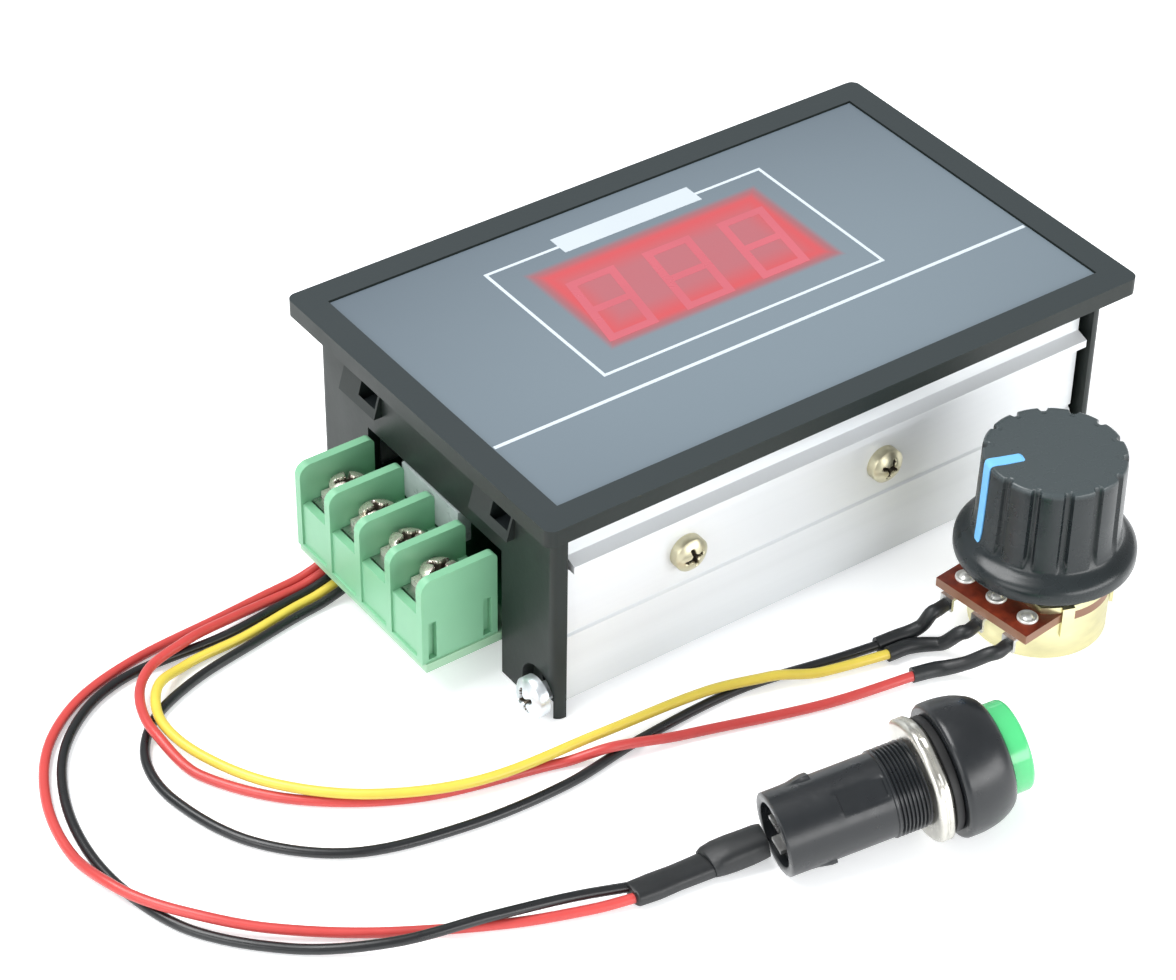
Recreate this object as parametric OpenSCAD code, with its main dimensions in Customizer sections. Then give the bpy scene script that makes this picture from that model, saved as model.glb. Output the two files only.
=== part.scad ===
// DC motor speed controller: panel housing with display, terminal strip, wired knob and wired button.
// Millimetres. The origin is the middle of the housing's open bottom, on the table it stands on.
// X runs along the housing, with the terminal strip at minus X. Z points up through the display.

/* [Housing] */
// Length of the box behind the bezel, over both end walls
box_length = 79.6; // [76:0.2:86]
// Width of the box behind the bezel
box_width = 48.6; // [48.2:0.2:50]
// Full height from the table to the bezel's face
housing_height = 30; // [29:0.5:36]
// Reach of the bezel past each end wall
end_overhang = 2.7; // [2:0.1:5]
// Reach of the bezel past each long side
side_overhang = 2.45; // [2:0.05:5]
// Bezel thickness
bezel_thickness = 2.2; // [1.8:0.1:3]
// Bezel corner radius
bezel_corner = 1.2; // [0.4:0.1:3]
// End wall thickness
wall = 1.6; // [1.2:0.1:2]
// Corner radius of the end walls
box_corner = 1.3; // [0.5:0.1:2]
// Depth of the recess that takes the front label
label_recess = 0.45; // [0.3:0.05:0.7]
// Width of the raised rim round the label
label_rim = 3.1; // [2.5:0.1:4]

/* [Display] */
// Window length along X
window_length = 32.6; // [28:0.2:36]
// Window width along Y
window_width = 17.2; // [14:0.2:18]
// Window middle along Y
window_y = 5.4; // [3:0.1:6]
// Height of the display module behind the window
module_height = 5.8; // [5:0.1:7]

/* [Boards] */
// Board thickness
board_thickness = 1.2; // [1:0.1:1.6]
// Underside of the main board above the table
board_z = 4.5; // [4.5:0.1:5]
// Width of the board's tongue
tongue_width = 26.9; // [26.8:0.1:27.6]

/* [Heat sinks] */
// Gap between an end wall's inner face and the end of the extrusions
sink_end_gap = 0.8; // [0.6:0.1:2]
// Web thickness of the extrusion
sink_web = 2; // [1.6:0.1:2.4]
// Outer face of the extrusion from the middle plane
sink_face = 23; // [22.8:0.1:23.4]
// Outward reach of the lip beyond the face
sink_lip = 1.4; // [0.8:0.1:1.6]
// Height of the mounting screws on the extrusion
sink_screw_z = 15.5; // [15:0.1:16]

/* [Terminal strip] */
// Pitch of the poles
pole_pitch = 6.35; // [6.2:0.05:6.4]
// Depth of the strip along X
strip_depth = 10.2; // [9.6:0.1:11]
// Gap between the strip and the end wall
strip_gap = 0.2; // [0.1:0.05:0.4]
// Height of the strip over the board
strip_height = 11.7; // [11:0.1:12]
// Thickness of each barrier
barrier = 1.1; // [0.9:0.05:1.2]
// Diameter of the terminal screw heads
screw_head = 4.5; // [4:0.1:4.6]

/* [Knob and potentiometer] */
// Diameter of the knob's skirt
knob_skirt = 21.2; // [19:0.2:24]
// Diameter of the fluted grip
knob_grip = 16.7; // [15:0.1:18]
// Height of the knob
knob_height = 14.2; // [12:0.1:16]
// Count of places round the grip, one for the pointer and the rest for flutes
flute_count = 14; // [10:1:20]
// Can diameter
can_diameter = 16.2; // [15.6:0.1:17]
// Can height
can_height = 5.4; // [5.2:0.1:5.8]
// Shaft diameter
shaft_diameter = 6; // [5:0.1:6]

/* [Push button] */
// Thread diameter of the switch
thread_diameter = 10; // [9.6:0.1:10.4]
// Diameter of the domed collar
collar_diameter = 15.4; // [14.8:0.1:15.4]
// Diameter of the button cap
cap_diameter = 10.4; // [9:0.1:10.8]
// Travel of the button
button_travel = 2.4; // [1.5:0.1:2.4]

/* [Wires] */
// Outside diameter of each wire
wire_diameter = 1.2; // [1:0.05:1.2]
// Outside diameter of the shrink sleeves on the lugs
sleeve_diameter = 1.7; // [1.5:0.05:1.8]

/* [Hidden] */
$fn = 64;
e = 0.02;
bezel_length = box_length + 2 * end_overhang;
bezel_width = box_width + 2 * side_overhang;
bezel_z = housing_height - bezel_thickness;
box_x = box_length / 2;
box_y = box_width / 2;
inner_x = box_x - wall;
recess_z = housing_height - label_recess;
recess_length = bezel_length - 2 * label_rim - 1;
recess_width = bezel_width - 2 * label_rim - 1;
label_thickness = 0.2;
window_frame = 1;
lens_top = recess_z + label_thickness;
post_radius = 2.4;
module_top = bezel_z - 0.2;
display_board_top = module_top - module_height;
display_board_z = display_board_top - board_thickness;
post_x = inner_x - 7.2;
post_edge = 2.6;
post_y = 11.4;
board_top = board_z + board_thickness;
sink_length = 2 * (inner_x - sink_end_gap);
board_x = sink_length / 2;
board_y = sink_face - sink_web - 0.6;

// Extrusion: screw channel at the foot, lip and groove on the face.
channel_radius = 1.2;
channel_y = sink_face - 2.2;
channel_z = board_z - 1.75;
foot_y = sink_face - 4.4;
foot_z = 1.1;
lip_z = sink_screw_z + 5.5;
lip_half = 0.5;
upper_setback = 0.2;
groove_z = 10.4;
sink_screw_x = [-0.5615 * board_x, 0.2005 * board_x];
sink_screw_radius = 1.5;
sink_head_radius = 2.4;
sink_head_height = 2;
nut_thickness = 2.2;
nut_corner = 3.1;
web_inner = sink_face - sink_web;
pad_thickness = 0.2;
body_thickness = 4;
body_inner = web_inner - pad_thickness - body_thickness;
body_width = 10;
body_base = sink_screw_z - 8;
body_height = 11.6;
lead_pitch = 2.54;

// Parts on the boards. A chip is low corner, length, width and height.
header_x = -0.16 * board_x;
header_y = -12;
header_pins = 6;
header_base = 2.5;
capacitor_radius = 5;
capacitor_height = display_board_z - board_top - 1.9;
capacitor_x = -0.722 * board_x;
capacitor_spots = [[capacitor_x, 8], [capacitor_x, -6]];
inductor_x = -0.24 * board_x;
inductor_y = 3;
inductor_radius = 8;
inductor_bore = 3.5;
inductor_height = 8;
chip_x = 0.1335 * board_x;
chips = [[chip_x, 7, 10, 6.5, 3.4], [chip_x, -4, 5, 4, 1.6]];

// End wall openings, screw notches and snap windows.
opening_y = tongue_width / 2 + 0.35;
opening_top = board_top + strip_height + 0.5;
notch_radius = 2.9;
boss_y0 = channel_y - 3;
boss_y1 = channel_y + 2.3;
boss_top = board_top + 2.6;
snap_middles = [14.4, -12.6];
snap_width = 7.6;
snap_z0 = 21.3;
snap_z1 = 25.2;
snap_reach = 1.1;
snap_rim = 0.35;
end_head_radius = 2.7;
end_head_height = 1.9;
end_screw_length = 8;

// Terminal strip.
pole_count = 4;
strip_x1 = -box_x - strip_gap;
strip_x0 = strip_x1 - strip_depth;
tongue_reach = -strip_x0 - 0.4;
strip_y = 2 * pole_pitch + barrier / 2;
strip_top = board_top + strip_height;
front_wall_rise = 6.4;
front_wall_top = board_top + front_wall_rise;
front_wall = 1.3;
wall_setback = 0.25;
groove_inset = 1.4;
groove_width = 1.1;
groove_depth = 0.75;
foot_rise = 0.5;
rear_wall = 1.2;
rear_wall_rise = 7;
barrier_round = 1.5;
rear_round = 0.8;
floor_z = board_top + 5.7;
bar_thickness = 0.8;
bar_top = floor_z + bar_thickness;
pole_width = pole_pitch - barrier;
pole_x = strip_x0 + 5;
plate_side = pole_width - 0.5;
plate_thickness = 0.9;
clamp_lift = 1.25;
plate_z = bar_top + 0.02;
head_z = plate_z + plate_thickness;
head_height = 2.2;
screw_radius = 1.5;
screw_hole = screw_radius + 0.05;
screw_tip = board_top + 0.5;
tail_width = 2.4;
tail_thickness = 0.8;
tail_x = strip_x1 - rear_wall - 0.1 - tail_thickness;
bead_y0 = -5.3;
bead_y1 = 6.2;
bead_height = 4.6;
bead_gap = 0.2;
function pole_y(i) = (i - 1.5) * pole_pitch;

// Potentiometer and knob, standing on the table beside the housing.
pot_x = 17.6;
pot_y = -40.8;
lug_turn = 186.5;
lug_pitch = 4.8;
rivet_reach = 7.7;
wafer_reach = 10.3;
can_radius = can_diameter / 2;
can_wall = 0.5;
wafer_thickness = 1.2;
wafer_top = can_height + wafer_thickness;
plate_top = wafer_top + 0.9;
plate_cut = 6.1;
plate_tabs = [-130, -63.5, 63.5, 130];
tab_width = 1.5;
tab_thickness = 0.4;
tab_gap = 0.03;
tab_foot = 3.4;
bushing_radius = 3.5;
bushing_top = plate_top + 5.6;
washer_top = plate_top + 0.5;
nut_top = washer_top + 1.6;
knob_z = nut_top + 0.2;
knob_top = knob_z + knob_height;
shaft_radius = shaft_diameter / 2;
shaft_gap = 0.05;
shaft_top = knob_top - 2;
shaft_base = can_wall + 0.5;
lug_x = wafer_reach + 0.5;
lug_thickness = 0.4;
lug_width = 1.8;
lug_tip_z = 3.5;
pointer_turn = 162;
pointer_width = 1.3;
pointer_depth = 0.4;
skirt_band = 2.5;
grip_z = knob_z + 3.7;
flute_radius = 0.6;

// Push button, lying on the table with its axis tilted up to the collar.
button_rear = [-33.9, -56.5, 4.75];
button_turn = -14.3;
button_tilt = 8.5;
barrel_radius = 4.8;
thread_start = 12.5;
thread_radius = thread_diameter / 2;
nut_start = 16.4;
nut_length = 1.9;
nut_radius = 7.2;
seal_start = nut_start + nut_length;
seal_length = 1.2;
seal_radius = 6.6;
collar_start = seal_start + seal_length;
collar_length = 6.4;
collar_lip = 0.4;
collar_band = 2.5;
collar_radius = collar_diameter / 2;
collar_front = collar_start + collar_length;
cap_radius = cap_diameter / 2;
cap_front = collar_front + 2.6;
cap_pocket = collar_front - 4.4;
cap_rear = cap_pocket + button_travel + 0.2;
stem_radius = 2;
stem_gap = 0.08;
bore_radius = 3.7;
bore_end = 11;
barb_turn = 141;
barb_start = 1.6;
barb_end = 5.4;
barb_reach = 0.35;
barb_width = 3;
flat_turn = -146;
flat_reach = barrel_radius - 0.2;
flat_start = 6.8;
spring_radius = 3.1;
spring_bore = 3.3;
spring_start = 15;
base_start = 1;
base_length = 2;
contact_z = base_start + base_length + 1.2;
bridge_thickness = 0.6;
bridge_rear = contact_z + button_travel + 0.05;
lug_half_gap = 1.7;

// Routes of the wires: from the pads under the board, over the table, to the sleeves.
pad_x = -36;
pad_z = 3;
pad_ys = [12.9, 11.6, 10.3, 9, 7.6];
wire_radius = wire_diameter / 2;
sides = 8;
route_switch_red = [
  [-36, 12.9, 3], [-41, 12.9, 3], [-52, 12.8, 0.6], [-62, 12.1, 0.6], [-74, 11.2, 0.6],
  [-82.5, 8.7, 0.6], [-89, 3.6, 0.6], [-93.2, -4, 0.6], [-94.9, -12.5, 0.8], [-94, -20.5, 1.9],
  [-90, -27.8, 1.9], [-83.5, -34.6, 1.3], [-73, -41.8, 0.6], [-62.5, -47.6, 0.6],
  [-54, -51.2, 0.8], [-48, -53.2, 1.3]
];
route_pot_red = [
  [-36, 11.6, 3], [-41, 11.6, 3], [-52, 11.5, 0.6], [-61, 10.7, 1.2], [-68, 9.4, 1.9],
  [-73.6, 7.7, 1.9], [-77, 4, 1.9], [-78.5, -1.8, 1.9], [-77.2, -9.8, 0.6], [-70.6, -19, 0.6],
  [-59.5, -26.3, 0.6], [-43.5, -30.7, 0.6], [-38, -33, 1.9], [-29.5, -35, 0.8],
  [-14, -39.6, 0.6], [-1, -42.5, 1.2]
];
route_switch_black = [
  [-36, 10.3, 3], [-41, 10.3, 3], [-52, 10.2, 0.6], [-63, 9, 0.6], [-75, 9.3, 0.6],
  [-81.8, 7.2, 0.6], [-87.8, 2, 0.6], [-91.6, -5.5, 0.6], [-93.2, -14, 0.6], [-92.6, -22, 0.6],
  [-89.8, -30, 0.6], [-83, -37.7, 0.6], [-74, -43.8, 1.4], [-63.5, -47, 1.9],
  [-55, -49.2, 1.6], [-48, -51.6, 1.3]
];
route_pot_yellow = [
  [-36, 9, 3], [-41, 9, 3], [-52, 8.9, 0.6], [-61, 7.6, 0.6], [-69.5, 6.9, 0.8],
  [-74.6, 4.2, 1.9], [-77, -1, 1.9], [-76.2, -8, 1.9], [-72, -16.6, 1.9], [-64, -24.2, 1.9],
  [-53, -29.1, 1.9], [-38, -30.4, 1.9], [-24, -31.5, 1.9], [-16.5, -33.6, 1.9],
  [-10.5, -35.6, 1], [-1, -38, 1.2]
];
route_pot_black = [
  [-36, 7.6, 3], [-41, 7.6, 3], [-52, 7.4, 0.6], [-61, 6, 0.6], [-70, 4.2, 0.6],
  [-77, 1, 0.6], [-81, -4.3, 0.6], [-81.6, -11.5, 0.6], [-78, -21.8, 0.6], [-70, -29.5, 0.6],
  [-58, -33, 0.6], [-45, -33.9, 0.6], [-34, -32.6, 0.6], [-20, -32.2, 0.6],
  [-9, -34.1, 0.6], [-1, -36, 1.2]
];
sleeve_z = 4.2;
sleeve_run = 3;
route_sleeve_black = [[-2.4, -35.6, 1.1], [0.8, -36.1, 1.3], [3, -36.9, 2.2]];
route_sleeve_yellow = [[-2.4, -37.6, 1.1], [0.8, -38, 1.1], [3.4, -39.8, 1.4]];
route_sleeve_red = [[-2.4, -42, 1.1], [0.8, -43, 1.2], [3, -44.8, 2.2]];
sleeve_start = [-49.5, -52.3, 1.3];
sleeve_turn = -6.5;
sleeve_length = 10.8;
sleeve_step = [-39.2, -53.4, 1.5];
sleeve_rise = 10;
sleeve_reach = 8;
sleeve_height = 2.2;
sleeve_width = 3.6;
sleeve_round = 1;

// Shared shapes

module rounded(l, w, r) {
  square([l - 2 * r, w], center = true);
  square([l, w - 2 * r], center = true);
  for (sx = [-1, 1])
    for (sy = [-1, 1])
      translate([sx * (l / 2 - r), sy * (w / 2 - r)])
        circle(r);
}

// Box from its low corner to its high corner.
module block(a, b) {
  translate(a)
    cube(b - a);
}

// Rod along X.
module rod_x(x0, x1, y, z, r) {
  translate([x0, y, z])
    rotate([0, 90, 0])
      cylinder(r = r, h = x1 - x0);
}

// Rod along Y.
module rod_y(x, y0, y1, z, r) {
  translate([x, y0, z])
    rotate([-90, 0, 0])
      cylinder(r = r, h = y1 - y0);
}

// Plain ring standing on z0.
module ring(outer, inner, z0, z1) {
  translate([0, 0, z0])
    difference() {
      cylinder(r = outer, h = z1 - z0);
      translate([0, 0, -1])
        cylinder(r = inner, h = z1 - z0 + 2);
    }
}

module both_sides() {
  children();
  mirror([0, 1, 0])
    children();
}

module both_ends() {
  children();
  mirror([1, 0, 0])
    children();
}

module at_pot() {
  translate([pot_x, pot_y, 0])
    children();
}

module at_lugs() {
  at_pot()
    rotate([0, 0, lug_turn])
      for (i = [-1, 0, 1])
        translate([0, i * lug_pitch, 0])
          children();
}

// Local Z of the children becomes the axis of the button, from rear to cap.
module at_button() {
  translate(button_rear)
    rotate([0, 90 - button_tilt, button_turn])
      children();
}

// Round tube swept along a route: one closed solid of triangles.
function unit(v) = v / norm(v);
function heading(p, i) =
  i == 0 ? unit(p[1] - p[0])
  : i == len(p) - 1 ? unit(p[i] - p[i - 1])
  : unit(unit(p[i] - p[i - 1]) + unit(p[i + 1] - p[i]));
function across(t) = unit(cross(t, [0, 0, 1]));
function ring_point(c, t, r, k) =
  c + r * (cos(22.5 + 45 * k) * across(t) + sin(22.5 + 45 * k) * cross(across(t), t));
function tube_points(p, r) =
  [for (i = [0 : len(p) - 1]) for (k = [0 : sides - 1]) ring_point(p[i], heading(p, i), r, k)];
function skin(n) =
  [for (i = [0 : n - 2]) for (k = [0 : sides - 1]) for (h = [0, 1])
    h == 0 ? [i * sides + k, i * sides + (k + 1) % sides, (i + 1) * sides + k]
    : [i * sides + (k + 1) % sides, (i + 1) * sides + (k + 1) % sides, (i + 1) * sides + k]];
function end_face(n) =
  [[for (k = [sides - 1 : -1 : 0]) k], [for (k = [0 : sides - 1]) (n - 1) * sides + k]];

module tube(p, r) {
  polyhedron(points = tube_points(p, r), faces = concat(skin(len(p)), end_face(len(p))));
}

// Lug end of a sleeve: it reaches the lug square on.
function lug_point(i, reach) =
  [pot_x + reach * cos(lug_turn) - i * lug_pitch * sin(lug_turn),
   pot_y + reach * sin(lug_turn) + i * lug_pitch * cos(lug_turn), sleeve_z];

// Housing

module wall_cutouts() {
  both_sides()
    both_ends() {
      rod_x(inner_x - 0.1, box_x + 1, channel_y, channel_z, notch_radius);
      block([inner_x - 0.1, channel_y - notch_radius, -1],
        [box_x + 1, channel_y + notch_radius, channel_z]);
    }
  block([-box_x - 1, -opening_y, -1], [-inner_x + 1, opening_y, opening_top]);
  both_ends()
    for (y = snap_middles)
      block([inner_x - 1, y - snap_width / 2 + snap_rim, snap_z0 + snap_rim], [box_x + 1, y, snap_z1]);
}

// Wedge that holds the housing behind the panel, with a window in one half.
module snap_ramps() {
  both_ends()
    for (y = snap_middles)
      difference() {
        translate([0, y + snap_width / 2, 0])
          rotate([90, 0, 0])
            linear_extrude(height = snap_width)
              polygon([[box_x - 0.2, snap_z1], [box_x, snap_z1], [box_x + snap_reach, snap_z0],
                [box_x - 0.2, snap_z0]]);
        block([inner_x - 1, y - snap_width / 2 + snap_rim, snap_z0 + snap_rim],
          [box_x + snap_reach - snap_rim, y, snap_z1 + 1]);
      }
}

module screw_bosses() {
  both_sides()
    both_ends()
      difference() {
        block([board_x + 0.1, boss_y0, 0.4], [inner_x + e, boss_y1, boss_top]);
        rod_x(board_x - 1, inner_x + 1, channel_y, channel_z, channel_radius);
      }
}

module front_shell() {
  color([0.33, 0.36, 0.37]) {
    difference() {
      translate([0, 0, bezel_z])
        linear_extrude(height = bezel_thickness)
          rounded(bezel_length, bezel_width, bezel_corner);
      translate([0, 0, recess_z])
        linear_extrude(height = 2)
          square([recess_length, recess_width], center = true);
      translate([0, window_y, bezel_z - 1])
        linear_extrude(height = 4)
          square([window_length, window_width], center = true);
    }
    difference() {
      linear_extrude(height = bezel_z + e)
        difference() {
          rounded(box_length, box_width, box_corner);
          square([2 * inner_x, box_width + 4], center = true);
        }
      wall_cutouts();
    }
    snap_ramps();
    screw_bosses();
    for (sx = [-1, 1])
      for (sy = [-1, 1])
        translate([sx * post_x, sy * post_y, display_board_top])
          cylinder(r = post_radius, h = bezel_z - display_board_top + e);
  }
}

module front_label() {
  color([0.53, 0.6, 0.65])
    translate([0, 0, recess_z])
      linear_extrude(height = label_thickness)
        difference() {
          square([recess_length - 0.2, recess_width - 0.2], center = true);
          translate([0, window_y])
            square([window_length, window_width], center = true);
        }
}

module display_lens() {
  color([0.5, 0.08, 0.08])
    translate([0, window_y, module_top + 0.3])
      linear_extrude(height = lens_top - module_top - 0.3)
        square([window_length, window_width], center = true);
}

module display_module() {
  color([0.15, 0.15, 0.16])
    translate([0, window_y, display_board_top])
      linear_extrude(height = module_height)
        square([window_length + 2, window_width - 0.4], center = true);
}

module display_board() {
  color([0.05, 0.35, 0.15])
    translate([0, 0, display_board_z])
      linear_extrude(height = board_thickness)
        square([2 * post_x + 2 * post_edge, 2 * post_y + 2 * post_edge], center = true);
}

module board_header() {
  color([0.1, 0.1, 0.1]) {
    block([header_x, header_y - 1.25, board_top],
      [header_x + header_pins * lead_pitch, header_y + 1.25, board_top + header_base]);
    for (i = [0 : header_pins - 1])
      translate([header_x + (i + 0.5) * lead_pitch - 0.32, header_y - 0.32, board_top + header_base - e])
        cube([0.64, 0.64, display_board_z - board_top - header_base + e]);
  }
}

// Main board with its tongue under the terminal strip.
module main_board() {
  color([0.1, 0.3, 0.15])
    difference() {
      translate([0, 0, board_z])
        linear_extrude(height = board_thickness)
          union() {
            square([2 * board_x, 2 * board_y], center = true);
            translate([-tongue_reach, -tongue_width / 2])
              square([tongue_reach, tongue_width]);
          }
      for (i = [0 : pole_count - 1])
        block([tail_x, pole_y(i) - tail_width / 2, board_z - 1],
          [tail_x + tail_thickness, pole_y(i) + tail_width / 2, board_top + 1]);
    }
}

// Heat sinks

module sink() {
  difference() {
    translate([-sink_length / 2, 0, 0])
      rotate([90, 0, 90])
        linear_extrude(height = sink_length)
          polygon([
            [-foot_y, foot_z], [-sink_face, foot_z], [-sink_face, groove_z],
            [-sink_face + 0.3, groove_z + 0.2], [-sink_face + 0.3, groove_z + 0.6],
            [-sink_face, groove_z + 0.8], [-sink_face, lip_z - lip_half - 0.3],
            [-sink_face - 0.3, lip_z - lip_half], [-sink_face - sink_lip, lip_z - lip_half],
            [-sink_face - sink_lip, lip_z + lip_half],
            [-sink_face + upper_setback, lip_z + lip_half + 0.6], [-sink_face + upper_setback, bezel_z],
            [-web_inner, bezel_z], [-web_inner, board_z], [-foot_y, board_z]
          ]);
    rod_x(-sink_length, sink_length, -channel_y, channel_z, channel_radius);
    block([-sink_length, -foot_y - 2, channel_z - 0.5], [sink_length, -foot_y + 1, channel_z + 0.5]);
    for (x = sink_screw_x)
      rod_y(x, -sink_face - 2, -web_inner + 2, sink_screw_z, sink_screw_radius + 0.1);
  }
}

module heat_sink_near() {
  color([0.85, 0.86, 0.88])
    sink();
}

module heat_sink_far() {
  color([0.85, 0.86, 0.88])
    mirror([0, 1, 0])
      sink();
}

module end_screws() {
  color([0.75, 0.76, 0.78])
    both_sides()
      both_ends() {
        rod_x(inner_x, inner_x + end_head_height, channel_y, channel_z, end_head_radius);
        rod_x(inner_x - end_screw_length, inner_x + e, channel_y, channel_z, channel_radius);
      }
}

module heat_sink_screws() {
  color([0.8, 0.72, 0.45])
    both_sides()
      for (x = sink_screw_x) {
        rod_y(x, -sink_face - sink_head_height, -sink_face, sink_screw_z, sink_head_radius);
        rod_y(x, -sink_face - e, -body_inner + nut_thickness, sink_screw_z, sink_screw_radius);
      }
}

module transistor_bodies() {
  color([0.08, 0.08, 0.08])
    both_sides()
      for (x = sink_screw_x)
        difference() {
          block([x - body_width / 2, -body_inner - body_thickness, body_base],
            [x + body_width / 2, -body_inner, body_base + body_height]);
          rod_y(x, -body_inner - body_thickness - 1, -body_inner + 1, sink_screw_z,
            sink_screw_radius + 0.1);
        }
}

module transistor_leads() {
  color([0.8, 0.8, 0.8])
    both_sides()
      for (x = sink_screw_x)
        for (i = [-1, 0, 1])
          block([x + i * lead_pitch - 0.4, -body_inner - 2.3, board_top],
            [x + i * lead_pitch + 0.4, -body_inner - 1.7, body_base]);
}

module insulating_pads() {
  color([0.6, 0.65, 0.7])
    both_sides()
      for (x = sink_screw_x)
        difference() {
          block([x - body_width / 2 - 1, -web_inner, body_base - 0.5],
            [x + body_width / 2 + 1, -web_inner + pad_thickness, body_base + body_height + 0.5]);
          rod_y(x, -web_inner - 1, -web_inner + 1, sink_screw_z, sink_screw_radius + 0.1);
        }
}

module transistor_nuts() {
  color([0.75, 0.76, 0.78])
    both_sides()
      for (x = sink_screw_x)
        difference() {
          translate([x, -body_inner, sink_screw_z])
            rotate([-90, 0, 0])
              cylinder(r = nut_corner, h = nut_thickness, $fn = 6);
          rod_y(x, -body_inner - 1, -body_inner + 4, sink_screw_z, sink_screw_radius);
        }
}

module bulk_capacitors() {
  color([0.12, 0.12, 0.25])
    for (p = capacitor_spots)
      translate([p[0], p[1], board_top])
        cylinder(r = capacitor_radius, h = capacitor_height);
}

module inductor() {
  color([0.6, 0.35, 0.15])
    translate([inductor_x, inductor_y, board_top])
      ring(inductor_radius, inductor_bore, 0, inductor_height);
}

module control_chips() {
  color([0.1, 0.1, 0.1]) {
    for (c = chips)
      translate([c[0], c[1], board_top])
        cube([c[2], c[3], c[4]]);
  }
}

// Terminal strip

// Outline of a barrier in X and Z, with its two top corners rounded off.
module barrier_side() {
  hull() {
    translate([strip_x0 + barrier_round, strip_top - barrier_round])
      circle(r = barrier_round);
    translate([strip_x1 - rear_round, strip_top - rear_round])
      circle(r = rear_round);
    translate([strip_x0, board_top])
      square([strip_depth, 1]);
  }
}

module terminal_block() {
  color([0.5, 0.78, 0.62])
    difference() {
      union() {
        block([strip_x0 + wall_setback, -strip_y + wall_setback, board_top],
          [strip_x1, strip_y - wall_setback, front_wall_top]);
        block([strip_x0, -strip_y, board_top], [strip_x1, strip_y, board_top + foot_rise]);
        block([strip_x1 - rear_wall, -strip_y + wall_setback, board_top],
          [strip_x1, strip_y - wall_setback, board_top + rear_wall_rise]);
        for (i = [-2 : 2])
          translate([0, i * pole_pitch + barrier / 2, 0])
            rotate([90, 0, 0])
              linear_extrude(height = barrier)
                barrier_side();
      }
      for (i = [0 : pole_count - 1]) {
        block([strip_x0 + front_wall, pole_y(i) - pole_width / 2, floor_z],
          [strip_x1 - rear_wall, pole_y(i) + pole_width / 2, front_wall_top + e]);
        translate([pole_x, pole_y(i), screw_tip - 0.3])
          cylinder(r = screw_hole, h = strip_height);
        block([tail_x, pole_y(i) - tail_width / 2, board_top - 1],
          [tail_x + tail_thickness, pole_y(i) + tail_width / 2, floor_z + e]);
      }
      for (sy = [-1, 1])
        for (x = [strip_x0 + groove_inset, strip_x1 - groove_inset])
          block([x - groove_width / 2, sy * strip_y - groove_depth, board_top + 0.4],
            [x + groove_width / 2, sy * strip_y + groove_depth, front_wall_top - 0.8]);
    }
}

module terminal_bars() {
  color([0.8, 0.8, 0.78])
    for (i = [0 : pole_count - 1]) {
      difference() {
        block([strip_x0 + front_wall + 0.2, pole_y(i) - pole_width / 2 + 0.1, floor_z],
          [tail_x + tail_thickness, pole_y(i) + pole_width / 2 - 0.1, bar_top]);
        translate([pole_x, pole_y(i), floor_z - 1])
          cylinder(r = screw_hole, h = 4);
      }
      block([tail_x, pole_y(i) - tail_width / 2, board_z - 0.1],
        [tail_x + tail_thickness, pole_y(i) + tail_width / 2, floor_z + e]);
    }
}

module adhesive_bead() {
  color([0.85, 0.84, 0.75])
    block([strip_x1, bead_y0, opening_top - bead_height - bead_gap],
      [-inner_x, bead_y1, opening_top - bead_gap]);
}

module terminal_screw(i) {
  color([0.7, 0.7, 0.68])
    translate([pole_x, pole_y(i), 0]) {
      translate([0, 0, head_z])
        cylinder(r = screw_head / 2, h = head_height - 0.4);
      translate([0, 0, head_z + head_height - 0.4])
        cylinder(r1 = screw_head / 2, r2 = screw_head / 2 - 0.4, h = 0.4);
      translate([0, 0, screw_tip])
        cylinder(r = screw_radius, h = head_z - screw_tip + e);
    }
}

module clamp_plate(i) {
  color([0.75, 0.75, 0.73])
    translate([pole_x, pole_y(i), plate_z])
      difference() {
        translate([-plate_side / 2, -plate_side / 2, 0])
          cube([plate_side, plate_side, plate_thickness]);
        translate([0, 0, -1])
          cylinder(r = screw_hole, h = 4);
      }
}

module terminal_screw_1() {
  terminal_screw(0);
}

module terminal_screw_2() {
  terminal_screw(1);
}

module terminal_screw_3() {
  terminal_screw(2);
}

module terminal_screw_4() {
  terminal_screw(3);
}

module clamp_plate_1() {
  clamp_plate(0);
}

module clamp_plate_2() {
  clamp_plate(1);
}

module clamp_plate_3() {
  clamp_plate(2);
}

module clamp_plate_4() {
  clamp_plate(3);
}

// Wires and sleeves

module wire_pads() {
  color([0.8, 0.8, 0.8])
    for (y = pad_ys)
      block([pad_x, y - 0.45, pad_z - 0.5], [pad_x + 1.4, y + 0.45, board_z]);
}

module wire_switch_red() {
  color([0.85, 0.3, 0.28])
    tube(route_switch_red, wire_radius);
}

module wire_pot_red() {
  color([0.85, 0.3, 0.28])
    tube(route_pot_red, wire_radius);
}

module wire_switch_black() {
  color([0.15, 0.16, 0.17])
    tube(route_switch_black, wire_radius);
}

module wire_pot_yellow() {
  color([0.93, 0.85, 0.3])
    tube(route_pot_yellow, wire_radius);
}

module wire_pot_black() {
  color([0.15, 0.16, 0.17])
    tube(route_pot_black, wire_radius);
}

module lug_sleeve(route, i) {
  color([0.22, 0.24, 0.25])
    tube(concat(route, [lug_point(i, lug_x + sleeve_run - 1), lug_point(i, lug_x)]), sleeve_diameter / 2);
}

module sleeve_pot_black() {
  lug_sleeve(route_sleeve_black, -1);
}

module sleeve_pot_yellow() {
  lug_sleeve(route_sleeve_yellow, 0);
}

module sleeve_pot_red() {
  lug_sleeve(route_sleeve_red, 1);
}

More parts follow.
